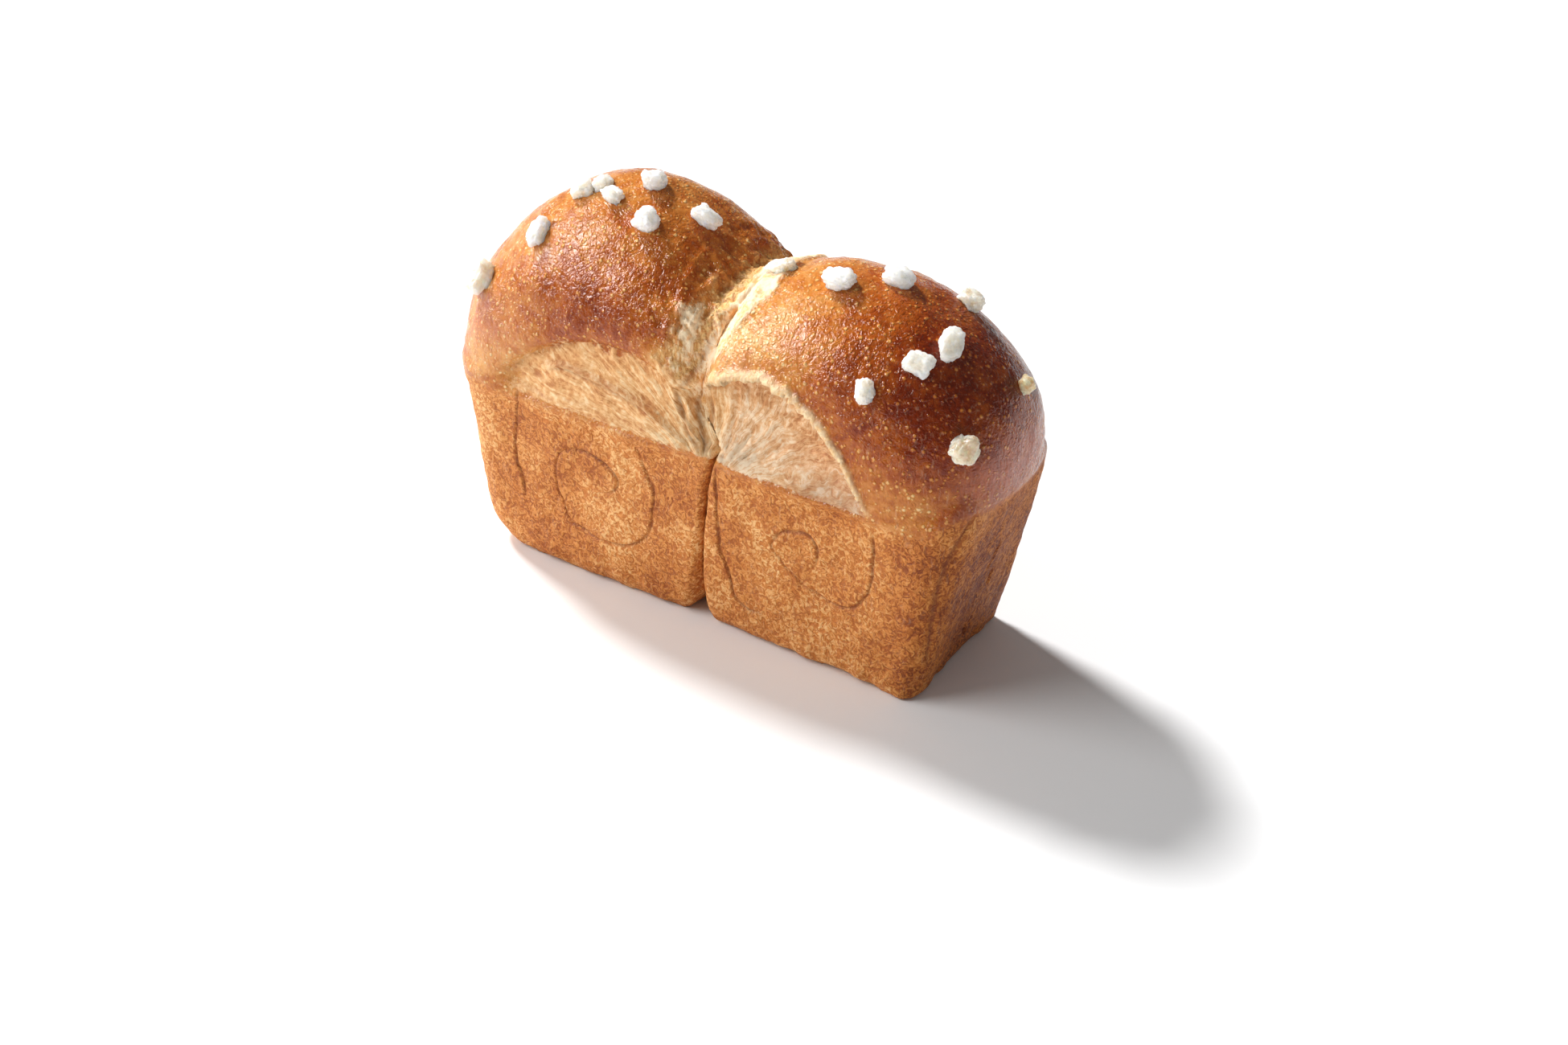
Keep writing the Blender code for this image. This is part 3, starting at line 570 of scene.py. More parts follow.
def roll_creases(points, normals):
    """Height that the creases of the rolled dough give the tin faces, and painted shade darkening
    along them, along the end creases, the valley gaps and under the ledge.
    """
    x, y, z = points.T
    height = np.zeros(len(points))
    dark = np.zeros(len(points))
    rows = (normals[:, 0] > 0.3) & (z < RIM_HEIGHT + 5 * MM)
    for corners in END_CREASES:
        near, _, ends = line_over(y[rows], z[rows], smooth_path(corners), 0.15, 0.15)
        height[rows] -= 1.3 * CREASE_DEPTH * ends * bell(near, 2 * CREASE_HALF)
        dark[rows] = np.maximum(dark[rows], ends * bell(near, 1.4 * CREASE_HALF))
    rows = (y < -6 * MM) & (np.abs(x) < 12 * MM) & (z > RIM_HEIGHT - 2 * MM)
    rows = rows | (y < -10 * MM) & (x < 0) & (z > RIM_HEIGHT + MM)
    for corners in VALLEY_GAPS + (LEDGE_SHADE,):
        near, _, ends = line_over(x[rows], z[rows], smooth_path(corners), 0.2, 0.2)
        height[rows] -= CREASE_DEPTH * ends * bell(near, 1.5 * CREASE_HALF)
        dark[rows] = np.maximum(dark[rows], 0.6 * ends * bell(near, 1.3 * CREASE_HALF))
    for face, mirror, shift in ((-1, 1, (0.0, 0.0)), (1, -1, BACK_SHIFT)):
        facing = ease((normals[:, 1] * face - 0.5) / 0.3)
        facing = facing * ease((CREASE_TOP - z) / MM)
        rows = facing > 0
        wander = CREASE_WANDER * uneven(points[rows], CREASE_WANDER_SIZES, 21)
        strength = 0.75 + 0.35 * uneven(points[rows], CREASE_FADE_SIZES, 23)
        for corners in FRONT_CREASES:
            path = smooth_path([(mirror * a + shift[0], b + shift[1]) for a, b in corners])
            if mirror < 0:
                path = path[::-1]
            near, side, ends = line_over(x[rows] + wander, z[rows] + wander, path, 0.06, 0.12)
            ends = ends * facing[rows]
            cut = -CREASE_DEPTH * bell(near, CREASE_HALF)
            inner = ease(0.5 + side * near / CREASE_HALF)
            height[rows] += ends * (cut + CREASE_STEP * inner * np.exp(-near / CREASE_STEP_REACH))
            dark[rows] = np.maximum(dark[rows], strength * ends * bell(near, CREASE_HALF))
    return height, dark


def torn_weight(points):
    """1 on the torn, fibrous dough and 0 on the crust."""
    x, y, z = points.T
    weight = np.zeros(len(points))
    for shred in SHREDS:
        behind = ease((y * shred["side"] - 8 * MM) / (4 * MM))
        soft = max(1.0 * MM, 1.1 * shred["blend"])
        raised = 0.0
        if shred["depth"] < DEEP_HOLLOW:
            raised = PULLED_RISE * ease(1 - np.abs(x - seam_x(y, z)) / PULLED_REACH)
            raised = raised + FRAY_HEIGHT * uneven(points, FRAY_SIZES, 33)
        inside = shred_inside(shred, x, z, raised)
        foot = ease(0.5 + (z - SHRED_FOOT) / (1.2 * MM))
        weight = np.maximum(weight, behind * foot * ease(0.5 + inside / soft))
    return weight


def lip_weight(points):
    """1 on the torn edge of the crust, just outside the two deep hollows."""
    x, y, z = points.T
    weight = np.zeros(len(points))
    for shred in SHREDS:
        if shred["depth"] < DEEP_HOLLOW:
            continue
        over = z - shred_arch(shred, x)
        behind = ease((y * shred["side"] - 12 * MM) / (3 * MM))
        across = ease((over + 0.4 * MM) / (0.5 * MM)) * ease((LIP_WIDTH - over) / (1.9 * MM))
        ends = ease((x - shred["from"]) / (4 * MM)) * ease((shred["to"] - x) / (2 * MM))
        weight = np.maximum(weight, behind * across * ends * ease((z - SHRED_FOOT) / (2 * MM)))
    return weight


def hollow_shade(points):
    """How much painted shade the deep hollow gets behind its overhanging right edge."""
    x, y, z = points.T
    inside = shred_inside(SHREDS[1], x, z)
    behind = ease((-y - 12 * MM) / (3 * MM)) * ease((x - 20 * MM) / (12 * MM))
    return 0.6 * behind * ease(inside / (0.3 * MM)) * ease(1.15 - inside / (7 * MM))


def strand_coordinates(points):
    """Across the strands, along them, and through the loaf."""
    x, y, z = points.T
    run_x, run_z = x - FIBRE_FOCUS[0], z - FIBRE_FOCUS[1]
    return np.arctan2(run_z, run_x) * FIBRE_TURN, np.hypot(run_x, run_z), y


def strand_relief(points):
    """Pulled strands that run together towards the seam at the rim."""
    turn, reach, through = strand_coordinates(points)
    height = np.zeros(len(points))
    for number, (width, length, rise) in enumerate(STRANDS):
        noise = lattice_noise(turn / width, reach / length, through / (4 * width), 5 + number)
        height += rise * (1 - 2 * np.abs(noise))
    return height


def band_weight(points):
    """1 on the pale, stretched dough on the right bank of the valley."""
    x, y, z = points.T
    past = x - seam_x(y, z) + 0.6 * MM * lattice_noise(y / (3 * MM), z / (3 * MM), x / (9 * MM), 31)
    share = ease((z - BAND_FLOOR) / (BAND_TOP - BAND_FLOOR))
    reach = between(*BAND_TO, share)
    across = ease((past - BAND_FROM) / (1.6 * MM)) * ease((reach - past) / (1.8 * MM))
    return across * ease((z - BAND_FLOOR) / (4 * MM))


def tear_weight(points):
    """1 on the crumb that shows in the small tear on the left bank of the valley."""
    centre, reach = TEAR
    apart = (points / MM - np.array(centre)) / np.array(reach)
    frayed = 0.5 * uneven(points, TEAR_SIZES[0], 41) + 0.3 * uneven(points, TEAR_SIZES[1], 43)
    return ease(1.35 - 1.15 * (np.linalg.norm(apart, axis=1) + frayed))


def crag_weight(points):
    """1 on the crags where the left lobe pulled away from the right one."""
    x, y, z = points.T
    from_seam = seam_x(y, z) - x
    torn = ease(from_seam / (2 * MM)) * ease((CRAG_REACH - from_seam) / (6 * MM))
    return torn * ease((z - CRAG_FLOOR) / (5 * MM))


def bank_weight(points):
    """1 on the rough, half-torn left bank of the valley."""
    x, y, z = points.T
    from_seam = seam_x(y, z) - x + BANK_RAGGED * uneven(points, BANK_RAGGED_SIZES, 35)
    across = ease(from_seam / MM) * ease((BANK_REACH - from_seam) / (5 * MM))
    return across * ease((z - BANK_FLOOR) / (6 * MM))


def tin_weight(points):
    """1 where the tin held the dough and 0 on the risen crown."""
    x, _, z = points.T
    wander = RIM_WANDER * uneven(points, RIM_WANDER_SIZE, 51)
    return ease((RIM_HEIGHT + end_fold(x) + wander - z) / RIM_FADE)


def baked_weight(points):
    """How dark the crust is baked at each point."""
    bake = np.full(len(points), BAKE_ELSEWHERE)
    for middle, reach, added in BAKE_ZONES:
        apart = np.sum(((points / MM - np.array(middle)) / np.array(reach)) ** 2, axis=1)
        bake = bake + added * np.exp(-apart / 2)
    return bake


def caramel_weight(points):
    """1 on the dark patches of melted sugar beside some of the lumps."""
    weight = np.zeros(len(points))
    frayed = 0.5 * uneven(points, 1.1 * MM, 71)
    for place, reach in CARAMEL_SPOTS:
        apart = np.linalg.norm(points / MM - np.array(place), axis=1) / reach
        weight = np.maximum(weight, ease(2.0 - 2.0 * (apart + frayed)))
    return 0.8 * weight


def painted_sheen_weight(points):
    """How much painted mauve sheen, a reflection painted into the colour, the crust gets."""
    weight = np.zeros(len(points))
    for place, reach, share in PAINTED_SHEEN_SPOTS:
        apart = (points / MM - np.array(place)) / np.array(reach)
        weight = np.maximum(weight, share * np.exp(-np.sum(apart ** 2, axis=1)))
    return weight


def crust_relief(points, normals):
    """Height of the finished surface over the bare form."""
    torn = torn_weight(points)
    tin = tin_weight(points)
    strandy = np.maximum(torn, 0.8 * np.maximum(band_weight(points), tear_weight(points)))
    crumbly = np.maximum(tear_weight(points), 0.6 * bank_weight(points))
    height = WAVE_HEIGHT * uneven(points, WAVE_SIZE, 1)
    height += LUMP_HEIGHT * uneven(points, LUMP_SIZE, 2)
    for number, (size, rise) in enumerate(zip(WRINKLE_SIZES, WRINKLE_HEIGHTS)):
        height += rise * uneven(points, size, 11 + number) * (1 - tin) * (1 - torn)
    crags = 1 - 2 * np.abs(uneven(points, CRAG_SIZE, 3))
    small = 1 - 2 * np.abs(uneven(points, 0.45 * CRAG_SIZE, 13))
    height += CRAG_HEIGHT * (crags + 0.45 * small) * crag_weight(points)
    height += PIMPLE_HEIGHT * uneven(points, PIMPLE_SIZE, 15) * tin
    height += strand_relief(points) * strandy
    height += BAND_HEIGHT * band_weight(points)
    height += CRUMB_HEIGHT * (np.abs(uneven(points, CRUMB_SIZE, 45)) - 0.2) * crumbly
    height += LIP_HEIGHT * lip_weight(points)
    height += valley_folds(points)
    foot = ease(1 - points[:, 2] / BASE_RAGGED_TOP)
    height += BASE_RAGGED * uneven(points, BASE_RAGGED_SIZE, 4) * foot
    crease, dark = roll_creases(points, normals)
    height += crease
    on_base = ease(1 - points[:, 2] / (1.2 * MM)) * ease(-normals[:, 2] * 2 - 0.6)
    return height * (1 - on_base), dark


def deselect_all():
    if bpy.context.mode != "OBJECT":
        bpy.ops.object.mode_set(mode="OBJECT")
    bpy.ops.object.select_all(action="DESELECT")


def pick(item):
    """Selects one object and makes it the active one."""
    deselect_all()
    item.select_set(True)
    bpy.context.view_layer.objects.active = item


def cut_edges_along(mesh, axis, pieces):
    """Cuts the edges that run along one axis into equal pieces."""
    bpy.ops.mesh.select_mode(type="EDGE")
    bpy.ops.mesh.select_all(action="DESELECT")
    grid = bmesh.from_edit_mesh(mesh)
    for edge in grid.edges:
        run = edge.verts[1].co - edge.verts[0].co
        edge.select = abs(run[axis]) > 0.9 * run.length
    bmesh.update_edit_mesh(mesh)
    bpy.ops.mesh.subdivide(number_cuts=pieces - 1)


def cut_faces(item, wanted):
    """Cuts each face that has a wanted point into four."""
    pick(item)
    bpy.ops.object.mode_set(mode="EDIT")
    bpy.ops.mesh.select_mode(type="FACE")
    bpy.ops.mesh.select_all(action="DESELECT")
    grid = bmesh.from_edit_mesh(item.data)
    grid.verts.ensure_lookup_table()
    for face in grid.faces:
        face.select = len(face.verts) == 4 and any(wanted[v.index] for v in face.verts)
    bmesh.update_edit_mesh(item.data)
    bpy.ops.mesh.subdivide(number_cuts=1)
    bpy.ops.object.mode_set(mode="OBJECT")


def read_points(mesh):
    flat = np.empty(len(mesh.vertices) * 3, dtype=np.float32)
    mesh.vertices.foreach_get("co", flat)
    return flat.reshape(-1, 3).astype(float)


def set_points(mesh, points):
    mesh.vertices.foreach_set("co", points.astype(np.float32).ravel())
    mesh.update()


def set_values(mesh, name, values):
    """Keeps a value, or three, for each point of a mesh under a name."""
    kind = "FLOAT" if values.ndim == 1 else "FLOAT_VECTOR"
    field = "value" if values.ndim == 1 else "vector"
    layer = mesh.attributes.new(name, kind, "POINT")
    layer.data.foreach_set(field, values.astype(np.float32).ravel())


def fine_places(points, normals):
    """Where the crust has detail too small for the wide faces."""
    dark = roll_creases(points, normals)[1]
    busy = np.maximum(torn_weight(points), lip_weight(points))
    busy = np.maximum(busy, np.maximum(band_weight(points), crag_weight(points)))
    busy = np.maximum(busy, tear_weight(points))
    x, y, z = points.T
    seam = ease(1 - np.abs(x - seam_x(y, z)) / (3 * MM)) * (z < RIM_HEIGHT + 4 * MM)
    return np.maximum(busy, seam) > 0.15, dark > 0.01


def make_loaf():
    """The whole loaf: a cube cut into small faces and cast onto the crust."""
    deselect_all()
    bpy.ops.mesh.primitive_cube_add(size=2)
    loaf = bpy.context.object
    loaf.name = loaf.data.name = "brioche"
    bpy.ops.object.mode_set(mode="EDIT")
    for axis, rounds in enumerate(BLOCK_CUTS):
        for pieces in rounds:
            if pieces > 1:
                cut_edges_along(loaf.data, axis, pieces)
    bpy.ops.object.mode_set(mode="OBJECT")
    for level in range(2):
        crust = cast_on_crust(block_points(read_points(loaf.data)))
        busy, creased = fine_places(crust, crust_normals(crust))
        cut_faces(loaf, busy | creased if level == 0 else creased)
    crust = cast_on_crust(block_points(read_points(loaf.data)))
    normals = crust_normals(crust)
    height, dark = crust_relief(crust, normals)
    points = crust + normals * height[:, None]
    points[:, 2] = np.where(points[:, 2] < FLAT_BAND, 0.0, points[:, 2])
    weights = {"bake": baked_weight, "torn": torn_weight, "tin": tin_weight, "lip": lip_weight,
               "band": band_weight, "tear": tear_weight, "bank": bank_weight,
               "caramel": caramel_weight, "painted_sheen": painted_sheen_weight}
    for name, weight in weights.items():
        set_values(loaf.data, name, weight(crust))
    # Painted shade along the creases and gaps and in the deep hollow, kept as crease
    set_values(loaf.data, "crease", np.maximum(dark, hollow_shade(crust)))
    set_values(loaf.data, "strand", np.stack(strand_coordinates(crust), axis=1))
    set_points(loaf.data, points - LOAF_MIDDLE)
    bpy.ops.object.shade_smooth()
    return loaf


def make_sugar():
    """The lumps of pearl sugar, each a ball pressed into a rough grain and set in the crust."""
    lumps = []
    for number, (place, length, width, turn) in enumerate(SUGAR_SHOWN + SUGAR_BEHIND):
        spot = cast_on_crust(np.array([place]) * MM)
        up = crust_normals(spot)[0]
        side = np.cross(up, (0.0, 1.0, 0.0))
        side /= np.linalg.norm(side)
        front = np.cross(up, side)
        angle = math.radians(turn)
        long_way = side * math.cos(angle) + front * math.sin(angle)
        wide_way = np.cross(up, long_way)
        deselect_all()
        bpy.ops.mesh.primitive_ico_sphere_add(subdivisions=5, radius=1)
        lump = bpy.context.object
        lump.name = "sugar_lump"
        ball = read_points(lump.data)
        swell = 1
        for order, (bumps, depth) in enumerate(SUGAR_GRAIN):
            grain = lattice_noise(*((ball + 10 * number) * bumps).T, SUGAR_SEED + order)
            swell = swell + depth * grain
        shape = np.sign(ball) * np.abs(ball) ** 0.85 * swell[:, None]
        height = min(length, width) * SUGAR_RISE
        offset = np.outer(shape[:, 0], long_way) * length / 2
        offset += np.outer(shape[:, 1], wide_way) * width / 2
        offset += np.outer(shape[:, 2] / 2 + 0.5 - SUGAR_SINK, up) * height
        set_points(lump.data, spot[0] + offset * MM - LOAF_MIDDLE)
        set_values(lump.data, "toast", np.full(len(ball), SUGAR_TOAST.get(number, 0.0)))
        bpy.ops.object.shade_smooth()
        lumps.append(lump)
    deselect_all()
    for lump in lumps:
        lump.select_set(True)
    bpy.context.view_layer.objects.active = lumps[0]
    bpy.ops.object.join()
    sugar = bpy.context.object
    sugar.name = sugar.data.name = "pearl_sugar"
    return sugar


def add_node(tree, kind, inputs=None, **settings):
    """A node with its settings, and with its inputs set or linked."""
    made = tree.nodes.new(kind)
    for name, value in settings.items():
        setattr(made, name, value)
    for name, value in (inputs or {}).items():
        if isinstance(value, bpy.types.NodeSocket):
            tree.links.new(value, made.inputs[name])
        else:
            made.inputs[name].default_value = value
    return made


def noise(tree, place, size, detail=2.0, rough=0.5, swirl=0.0):
    """Cloudy values around one half, with features of the given size."""
    made = add_node(tree, "ShaderNodeTexNoise",
                    {"Vector": place, "Scale": 1 / size, "Detail": detail, "Roughness": rough,
                     "Distortion": swirl})
    return made.outputs["Fac"]


def spread(tree, value, low, high, to_low=0.0, to_high=1.0):
    """The value stretched from one range onto another, smoothly, without passing it."""
    made = add_node(tree, "ShaderNodeMapRange",
                    {"Value": value, "From Min": low, "From Max": high,
                     "To Min": to_low, "To Max": to_high},
                    interpolation_type="SMOOTHSTEP")
    return made.outputs["Result"]


def work_out(tree, operation, a, b=0.0):
    return add_node(tree, "ShaderNodeMath", {0: a, 1: b}, operation=operation).outputs["Value"]


def times(tree, a, b):
    return work_out(tree, "MULTIPLY", a, b)


def plus(tree, a, b, *more):
    """The sum of two or more values."""
    total = work_out(tree, "ADD", a, b)
    return plus(tree, total, *more) if more else total


def largest(tree, a, b, *more):
    """The largest of two or more values."""
    top = work_out(tree, "MAXIMUM", a, b)
    return largest(tree, top, *more) if more else top


def mixed(tree, share, first, second, blend="MIX"):
    """Two colours mixed by a share."""
    return add_node(tree, "ShaderNodeMix", {0: share, 6: first, 7: second},
                    data_type="RGBA", blend_type=blend).outputs[2]


def mixed_value(tree, share, first, second):
    """Two values mixed by a share."""
    return add_node(tree, "ShaderNodeMix", {0: share, 2: first, 3: second},
                    data_type="FLOAT").outputs[0]


def colour_scale(tree, value, steps):
    """A colour for each value, between the colours at the given steps."""
    made = add_node(tree, "ShaderNodeValToRGB", {"Fac": value})
    ramp = made.color_ramp
    while len(ramp.elements) < len(steps):
        ramp.elements.new(0.5)
    for element, (place, colour) in zip(ramp.elements, steps):
        element.position = place
        element.color = (*colour, 1.0)
    return made.outputs["Color"]


def stored(tree, name, output="Fac"):
    return add_node(tree, "ShaderNodeAttribute", attribute_name=name).outputs[output]


def speckle_group():
    """Shader group: small round specks of one size, scattered over a share of the surface."""
    group = bpy.data.node_groups.new("specks", "ShaderNodeTree")
    group.interface.new_socket("Place", in_out="INPUT", socket_type="NodeSocketVector")
    for name in ("Per Metre", "Radius", "Cover"):
        group.interface.new_socket(name, in_out="INPUT", socket_type="NodeSocketFloat")
    group.interface.new_socket("Specks", in_out="OUTPUT", socket_type="NodeSocketFloat")
    start = group.nodes.new("NodeGroupInput")
    end = group.nodes.new("NodeGroupOutput")
    cells = add_node(group, "ShaderNodeTexVoronoi",
                     {"Vector": start.outputs["Place"], "Scale": start.outputs["Per Metre"]},
                     feature="F1")
    away = work_out(group, "DIVIDE", cells.outputs["Distance"], start.outputs["Radius"])
    round_specks = spread(group, away, 1.0, 0.35)
    parts = add_node(group, "ShaderNodeSeparateColor", {"Color": cells.outputs["Color"]})
    chosen = work_out(group, "LESS_THAN", parts.outputs["Red"], start.outputs["Cover"])
    group.links.new(times(group, round_specks, chosen), end.inputs["Specks"])
    return group


def specks(tree, group, place, size, radius, cover):
    """Specks about the given size apart. Radius is a share of that, cover a share of them."""
    made = add_node(tree, "ShaderNodeGroup", node_tree=group)
    given = {"Place": place, "Per Metre": 1 / size, "Radius": radius, "Cover": cover}
    for name, value in given.items():
        if isinstance(value, bpy.types.NodeSocket):
            tree.links.new(value, made.inputs[name])
        else:
            made.inputs[name].default_value = value
    return made.outputs["Specks"]


def new_material(name):
    material = bpy.data.materials.new(name)
    material.use_nodes = True
    tree = material.node_tree
    return material, tree, tree.nodes["Principled BSDF"]


def raise_by(tree, shader, height, strength):
    """Bumps on a material, with their height in millimetres."""
    bump = add_node(tree, "ShaderNodeBump",
                    {"Strength": strength, "Distance": MM, "Height": height})
    tree.links.new(bump.outputs["Normal"], shader.inputs["Normal"])


CROWN_COLOURS = (
    (0.00, (0.93, 0.70, 0.40)),
    (0.16, (0.84, 0.51, 0.205)),
    (0.32, (0.72, 0.335, 0.090)),
    (0.48, (0.55, 0.180, 0.028)),
    (0.64, (0.37, 0.075, 0.006)),
    (0.82, (0.19, 0.020, 0.001)),
    (1.00, (0.080, 0.006, 0.001)),
)
TIN_COLOURS = (
    (0.00, (0.18, 0.034, 0.005)),
    (0.20, (0.35, 0.084, 0.011)),
    (0.48, (0.57, 0.175, 0.028)),
    (0.72, (0.74, 0.295, 0.068)),
    (1.00, (0.97, 0.59, 0.25)),
)
TORN_COLOURS = (
    (0.00, (0.50, 0.190, 0.066)),
    (0.30, (0.70, 0.350, 0.142)),
    (0.65, (0.85, 0.535, 0.285)),
    (1.00, (0.97, 0.76, 0.53)),
)
SUGAR_WHITES = ((0.94, 0.88, 0.79, 1.0), (1.0, 0.96, 0.91, 1.0))
SUGAR_BROWNS = ((0.66, 0.34, 0.10, 1.0), (0.92, 0.72, 0.40, 1.0))
# Where the strands run to the left of the seam, by their angle around it
LEFT_OF_SEAM = (36 * MM, 46 * MM)
CREAM = (1.0, 0.82, 0.57, 1.0)
CREAM_SHADE = (0.88, 0.49, 0.20, 1.0)
GOLDEN_TINT = (1.0, 0.95, 0.80, 1.0)
BANK = (0.86, 0.58, 0.24, 1.0)
BANK_SHADE = (0.40, 0.155, 0.035, 1.0)
LIP_COLOUR = (0.95, 0.68, 0.33, 1.0)
# Painted shade for the creases, the valley gaps, under the ledge and in the deep hollow
CREASE_SHADE_COLOUR = (0.20, 0.050, 0.022, 1.0)
CARAMEL = (0.16, 0.030, 0.006, 1.0)
# Painted mauve sheen, a reflection painted into the crown's colour
PAINTED_SHEEN = (0.80, 0.33, 0.26, 1.0)


def crown_colour(tree, place, speckles):
    """Colour and height of the egg-washed crown: clouds of browning and pale blisters."""
    cloud = noise(tree, place, 6 * MM, 3, 0.55)
    mottle = noise(tree, place, 1.7 * MM, 3, 0.6)
    bake = plus(tree, stored(tree, "bake"), spread(tree, cloud, 0.3, 0.7, -0.07, 0.07),
                spread(tree, mottle, 0.3, 0.7, -0.07, 0.07))
    large = specks(tree, speckles, place, 1.6 * MM, 0.30, 0.75)
    small = specks(tree, speckles, place, 0.95 * MM, 0.34, 0.8)
    blisters = largest(tree, large, times(tree, small, 0.7))
    bake = work_out(tree, "SUBTRACT", bake, times(tree, blisters, 0.34))
    peel = noise(tree, place, 0.95 * MM, 2.0, 0.6, 0.8)
    height = plus(tree, times(tree, peel, 0.38), times(tree, blisters, 0.16))
    return colour_scale(tree, bake, CROWN_COLOURS), height, mottle


def tin_colour(tree, place, speckles):
    """Colour and height of the sides: short pale strokes and specks on orange brown."""
    strokes = noise(tree, place, 1.0 * MM, 2.5, 0.62, 1.4)
    patches = noise(tree, place, 11 * MM, 3, 0.5)
    flecks = specks(tree, speckles, place, 1.2 * MM, 0.36, 0.5)
    level = plus(tree, spread(tree, strokes, 0.37, 0.63, 0.18, 0.76),
                 spread(tree, patches, 0.3, 0.7, -0.20, 0.14), times(tree, flecks, 0.16),
                 spread(tree, stored(tree, "bake"), 0.2, 1.1, 0.26, -0.62))
    level = plus(tree, times(tree, level, 0.8), 0.2)
    height = plus(tree, times(tree, strokes, 0.55), times(tree, flecks, 0.05))
    return colour_scale(tree, level, TIN_COLOURS), height


def swayed_strands(tree, place, strand, angle):
    """Coordinates of the strands with a sway, which is less on the left of the seam."""
    sway = noise(tree, place, 5 * MM, 2)
    wander = times(tree, sway, spread(tree, angle, *LEFT_OF_SEAM, 9.0 * MM, 3.0 * MM))
    push = add_node(tree, "ShaderNodeVectorMath", {0: (1.0, 0.25, 0.0), "Scale": wander},
                    operation="SCALE")
    warped = add_node(tree, "ShaderNodeVectorMath", {0: strand, 1: push.outputs["Vector"]},
                      operation="ADD")
    return add_node(tree, "ShaderNodeMapping",
                    {"Vector": warped.outputs["Vector"], "Scale": (1.0, 0.11, 0.3)}
                    ).outputs["Vector"]


def torn_colour(tree, place):
    """Colour and height of the torn dough: strands that run to the seam, over a webby crumb."""
    strand = stored(tree, "strand", "Vector")
    split = add_node(tree, "ShaderNodeSeparateXYZ", {"Vector": strand})
    angle, reach = split.outputs["X"], split.outputs["Y"]
    fibres = noise(tree, swayed_strands(tree, place, strand, angle), 0.62 * MM, 4, 0.68)
    web = noise(tree, place, 1.1 * MM, 3, 0.6)
    patches = noise(tree, place, 6 * MM, 2)
    # The last term makes the dough paler towards the seam at the rim: painted light over the shade
    # there.
    level = plus(tree, spread(tree, fibres, 0.34, 0.66, 0.10, 0.68),
                 spread(tree, web, 0.35, 0.65, -0.16, 0.26),
                 spread(tree, patches, 0.3, 0.7, -0.08, 0.14),
                 spread(tree, reach, 22 * MM, 5 * MM, 0.0, 0.38))
    height = plus(tree, times(tree, fibres, 0.34), times(tree, web, 0.22))
    light = spread(tree, plus(tree, fibres, spread(tree, web, 0.3, 0.7, -0.1, 0.1)), 0.32, 0.58)
    rough_bank = mixed(tree, light, BANK_SHADE, BANK)
    cream = mixed(tree, light, CREAM_SHADE, CREAM)
    dough = mixed(tree, spread(tree, angle, *LEFT_OF_SEAM),
                  colour_scale(tree, level, TORN_COLOURS), GOLDEN_TINT, "MULTIPLY")
    return dough, cream, rough_bank, height


def upright_noise(tree, place, size, detail, rough=0.5):
    """Noise that runs in upright streaks."""
    along = add_node(tree, "ShaderNodeMapping", {"Vector": place, "Scale": (1.0, 1.0, 0.2)})
    return noise(tree, along.outputs["Vector"], size, detail, rough)


def loaf_material(speckles):
    """Egg-washed crown, tin-baked sides and torn dough, by what is kept on the points."""
    material, tree, shader = new_material("brioche_crust")
    place = add_node(tree, "ShaderNodeTexCoord").outputs["Object"]
    tin = stored(tree, "tin")
    frayed = spread(tree, noise(tree, place, 1.3 * MM, 3, 0.65), 0.3, 0.7, -0.3, 0.3)
    torn = spread(tree, plus(tree, stored(tree, "torn"), frayed), 0.25, 0.75)
    crumbled = upright_noise(tree, place, 0.55 * MM, 3, 0.6)
    pale = largest(tree, stored(tree, "band"), stored(tree, "tear"))
    pale = plus(tree, pale, spread(tree, crumbled, 0.3, 0.7, -0.28, 0.28))
    pale = spread(tree, pale, 0.10, 0.95, 0.0, 0.85)
    # Painted mauve sheen in upright streaks, a reflection painted into the colour
    streaks = spread(tree, upright_noise(tree, place, 0.7 * MM, 2), 0.35, 0.65, 0.5, 1.0)
    painted_sheen = times(tree, stored(tree, "painted_sheen"), streaks)
    bank = times(tree, stored(tree, "bank"), spread(tree, crumbled, 0.35, 0.6, 0.3, 0.95))
    lip = times(tree, stored(tree, "lip"), spread(tree, crumbled, 0.3, 0.65, 0.55, 1.0))
    # Painted shade in the creases, the valley gaps, under the ledge and in the deep hollow
    crease = times(tree, stored(tree, "crease"), 0.62)
    crown, crown_height, mottle = crown_colour(tree, place, speckles)
    side, side_height = tin_colour(tree, place, speckles)
    dough, cream, rough_bank, dough_height = torn_colour(tree, place)

    colour = mixed(tree, tin, crown, side)
    layers = ((painted_sheen, PAINTED_SHEEN), (bank, rough_bank), (torn, dough), (pale, cream),
              (lip, mixed(tree, 0.5, cream, LIP_COLOUR)), (crease, CREASE_SHADE_COLOUR),
              (stored(tree, "caramel"), CARAMEL))
    for share, layer in layers:
        colour = mixed(tree, share, colour, layer)
    tree.links.new(colour, shader.inputs["Base Color"])

    doughy = largest(tree, torn, pale, lip)
    dull = largest(tree, tin, doughy, times(tree, stored(tree, "bank"), 0.7))
    rough = plus(tree, spread(tree, mottle, 0.3, 0.7, 0.09, 0.17), times(tree, dull, 0.50))
    tree.links.new(rough, shader.inputs["Roughness"])
    height = mixed_value(tree, tin, crown_height, side_height)
    raise_by(tree, shader, mixed_value(tree, doughy, height, dough_height), 1.0)
    shader.inputs["Specular IOR Level"].default_value = 0.32
    return material


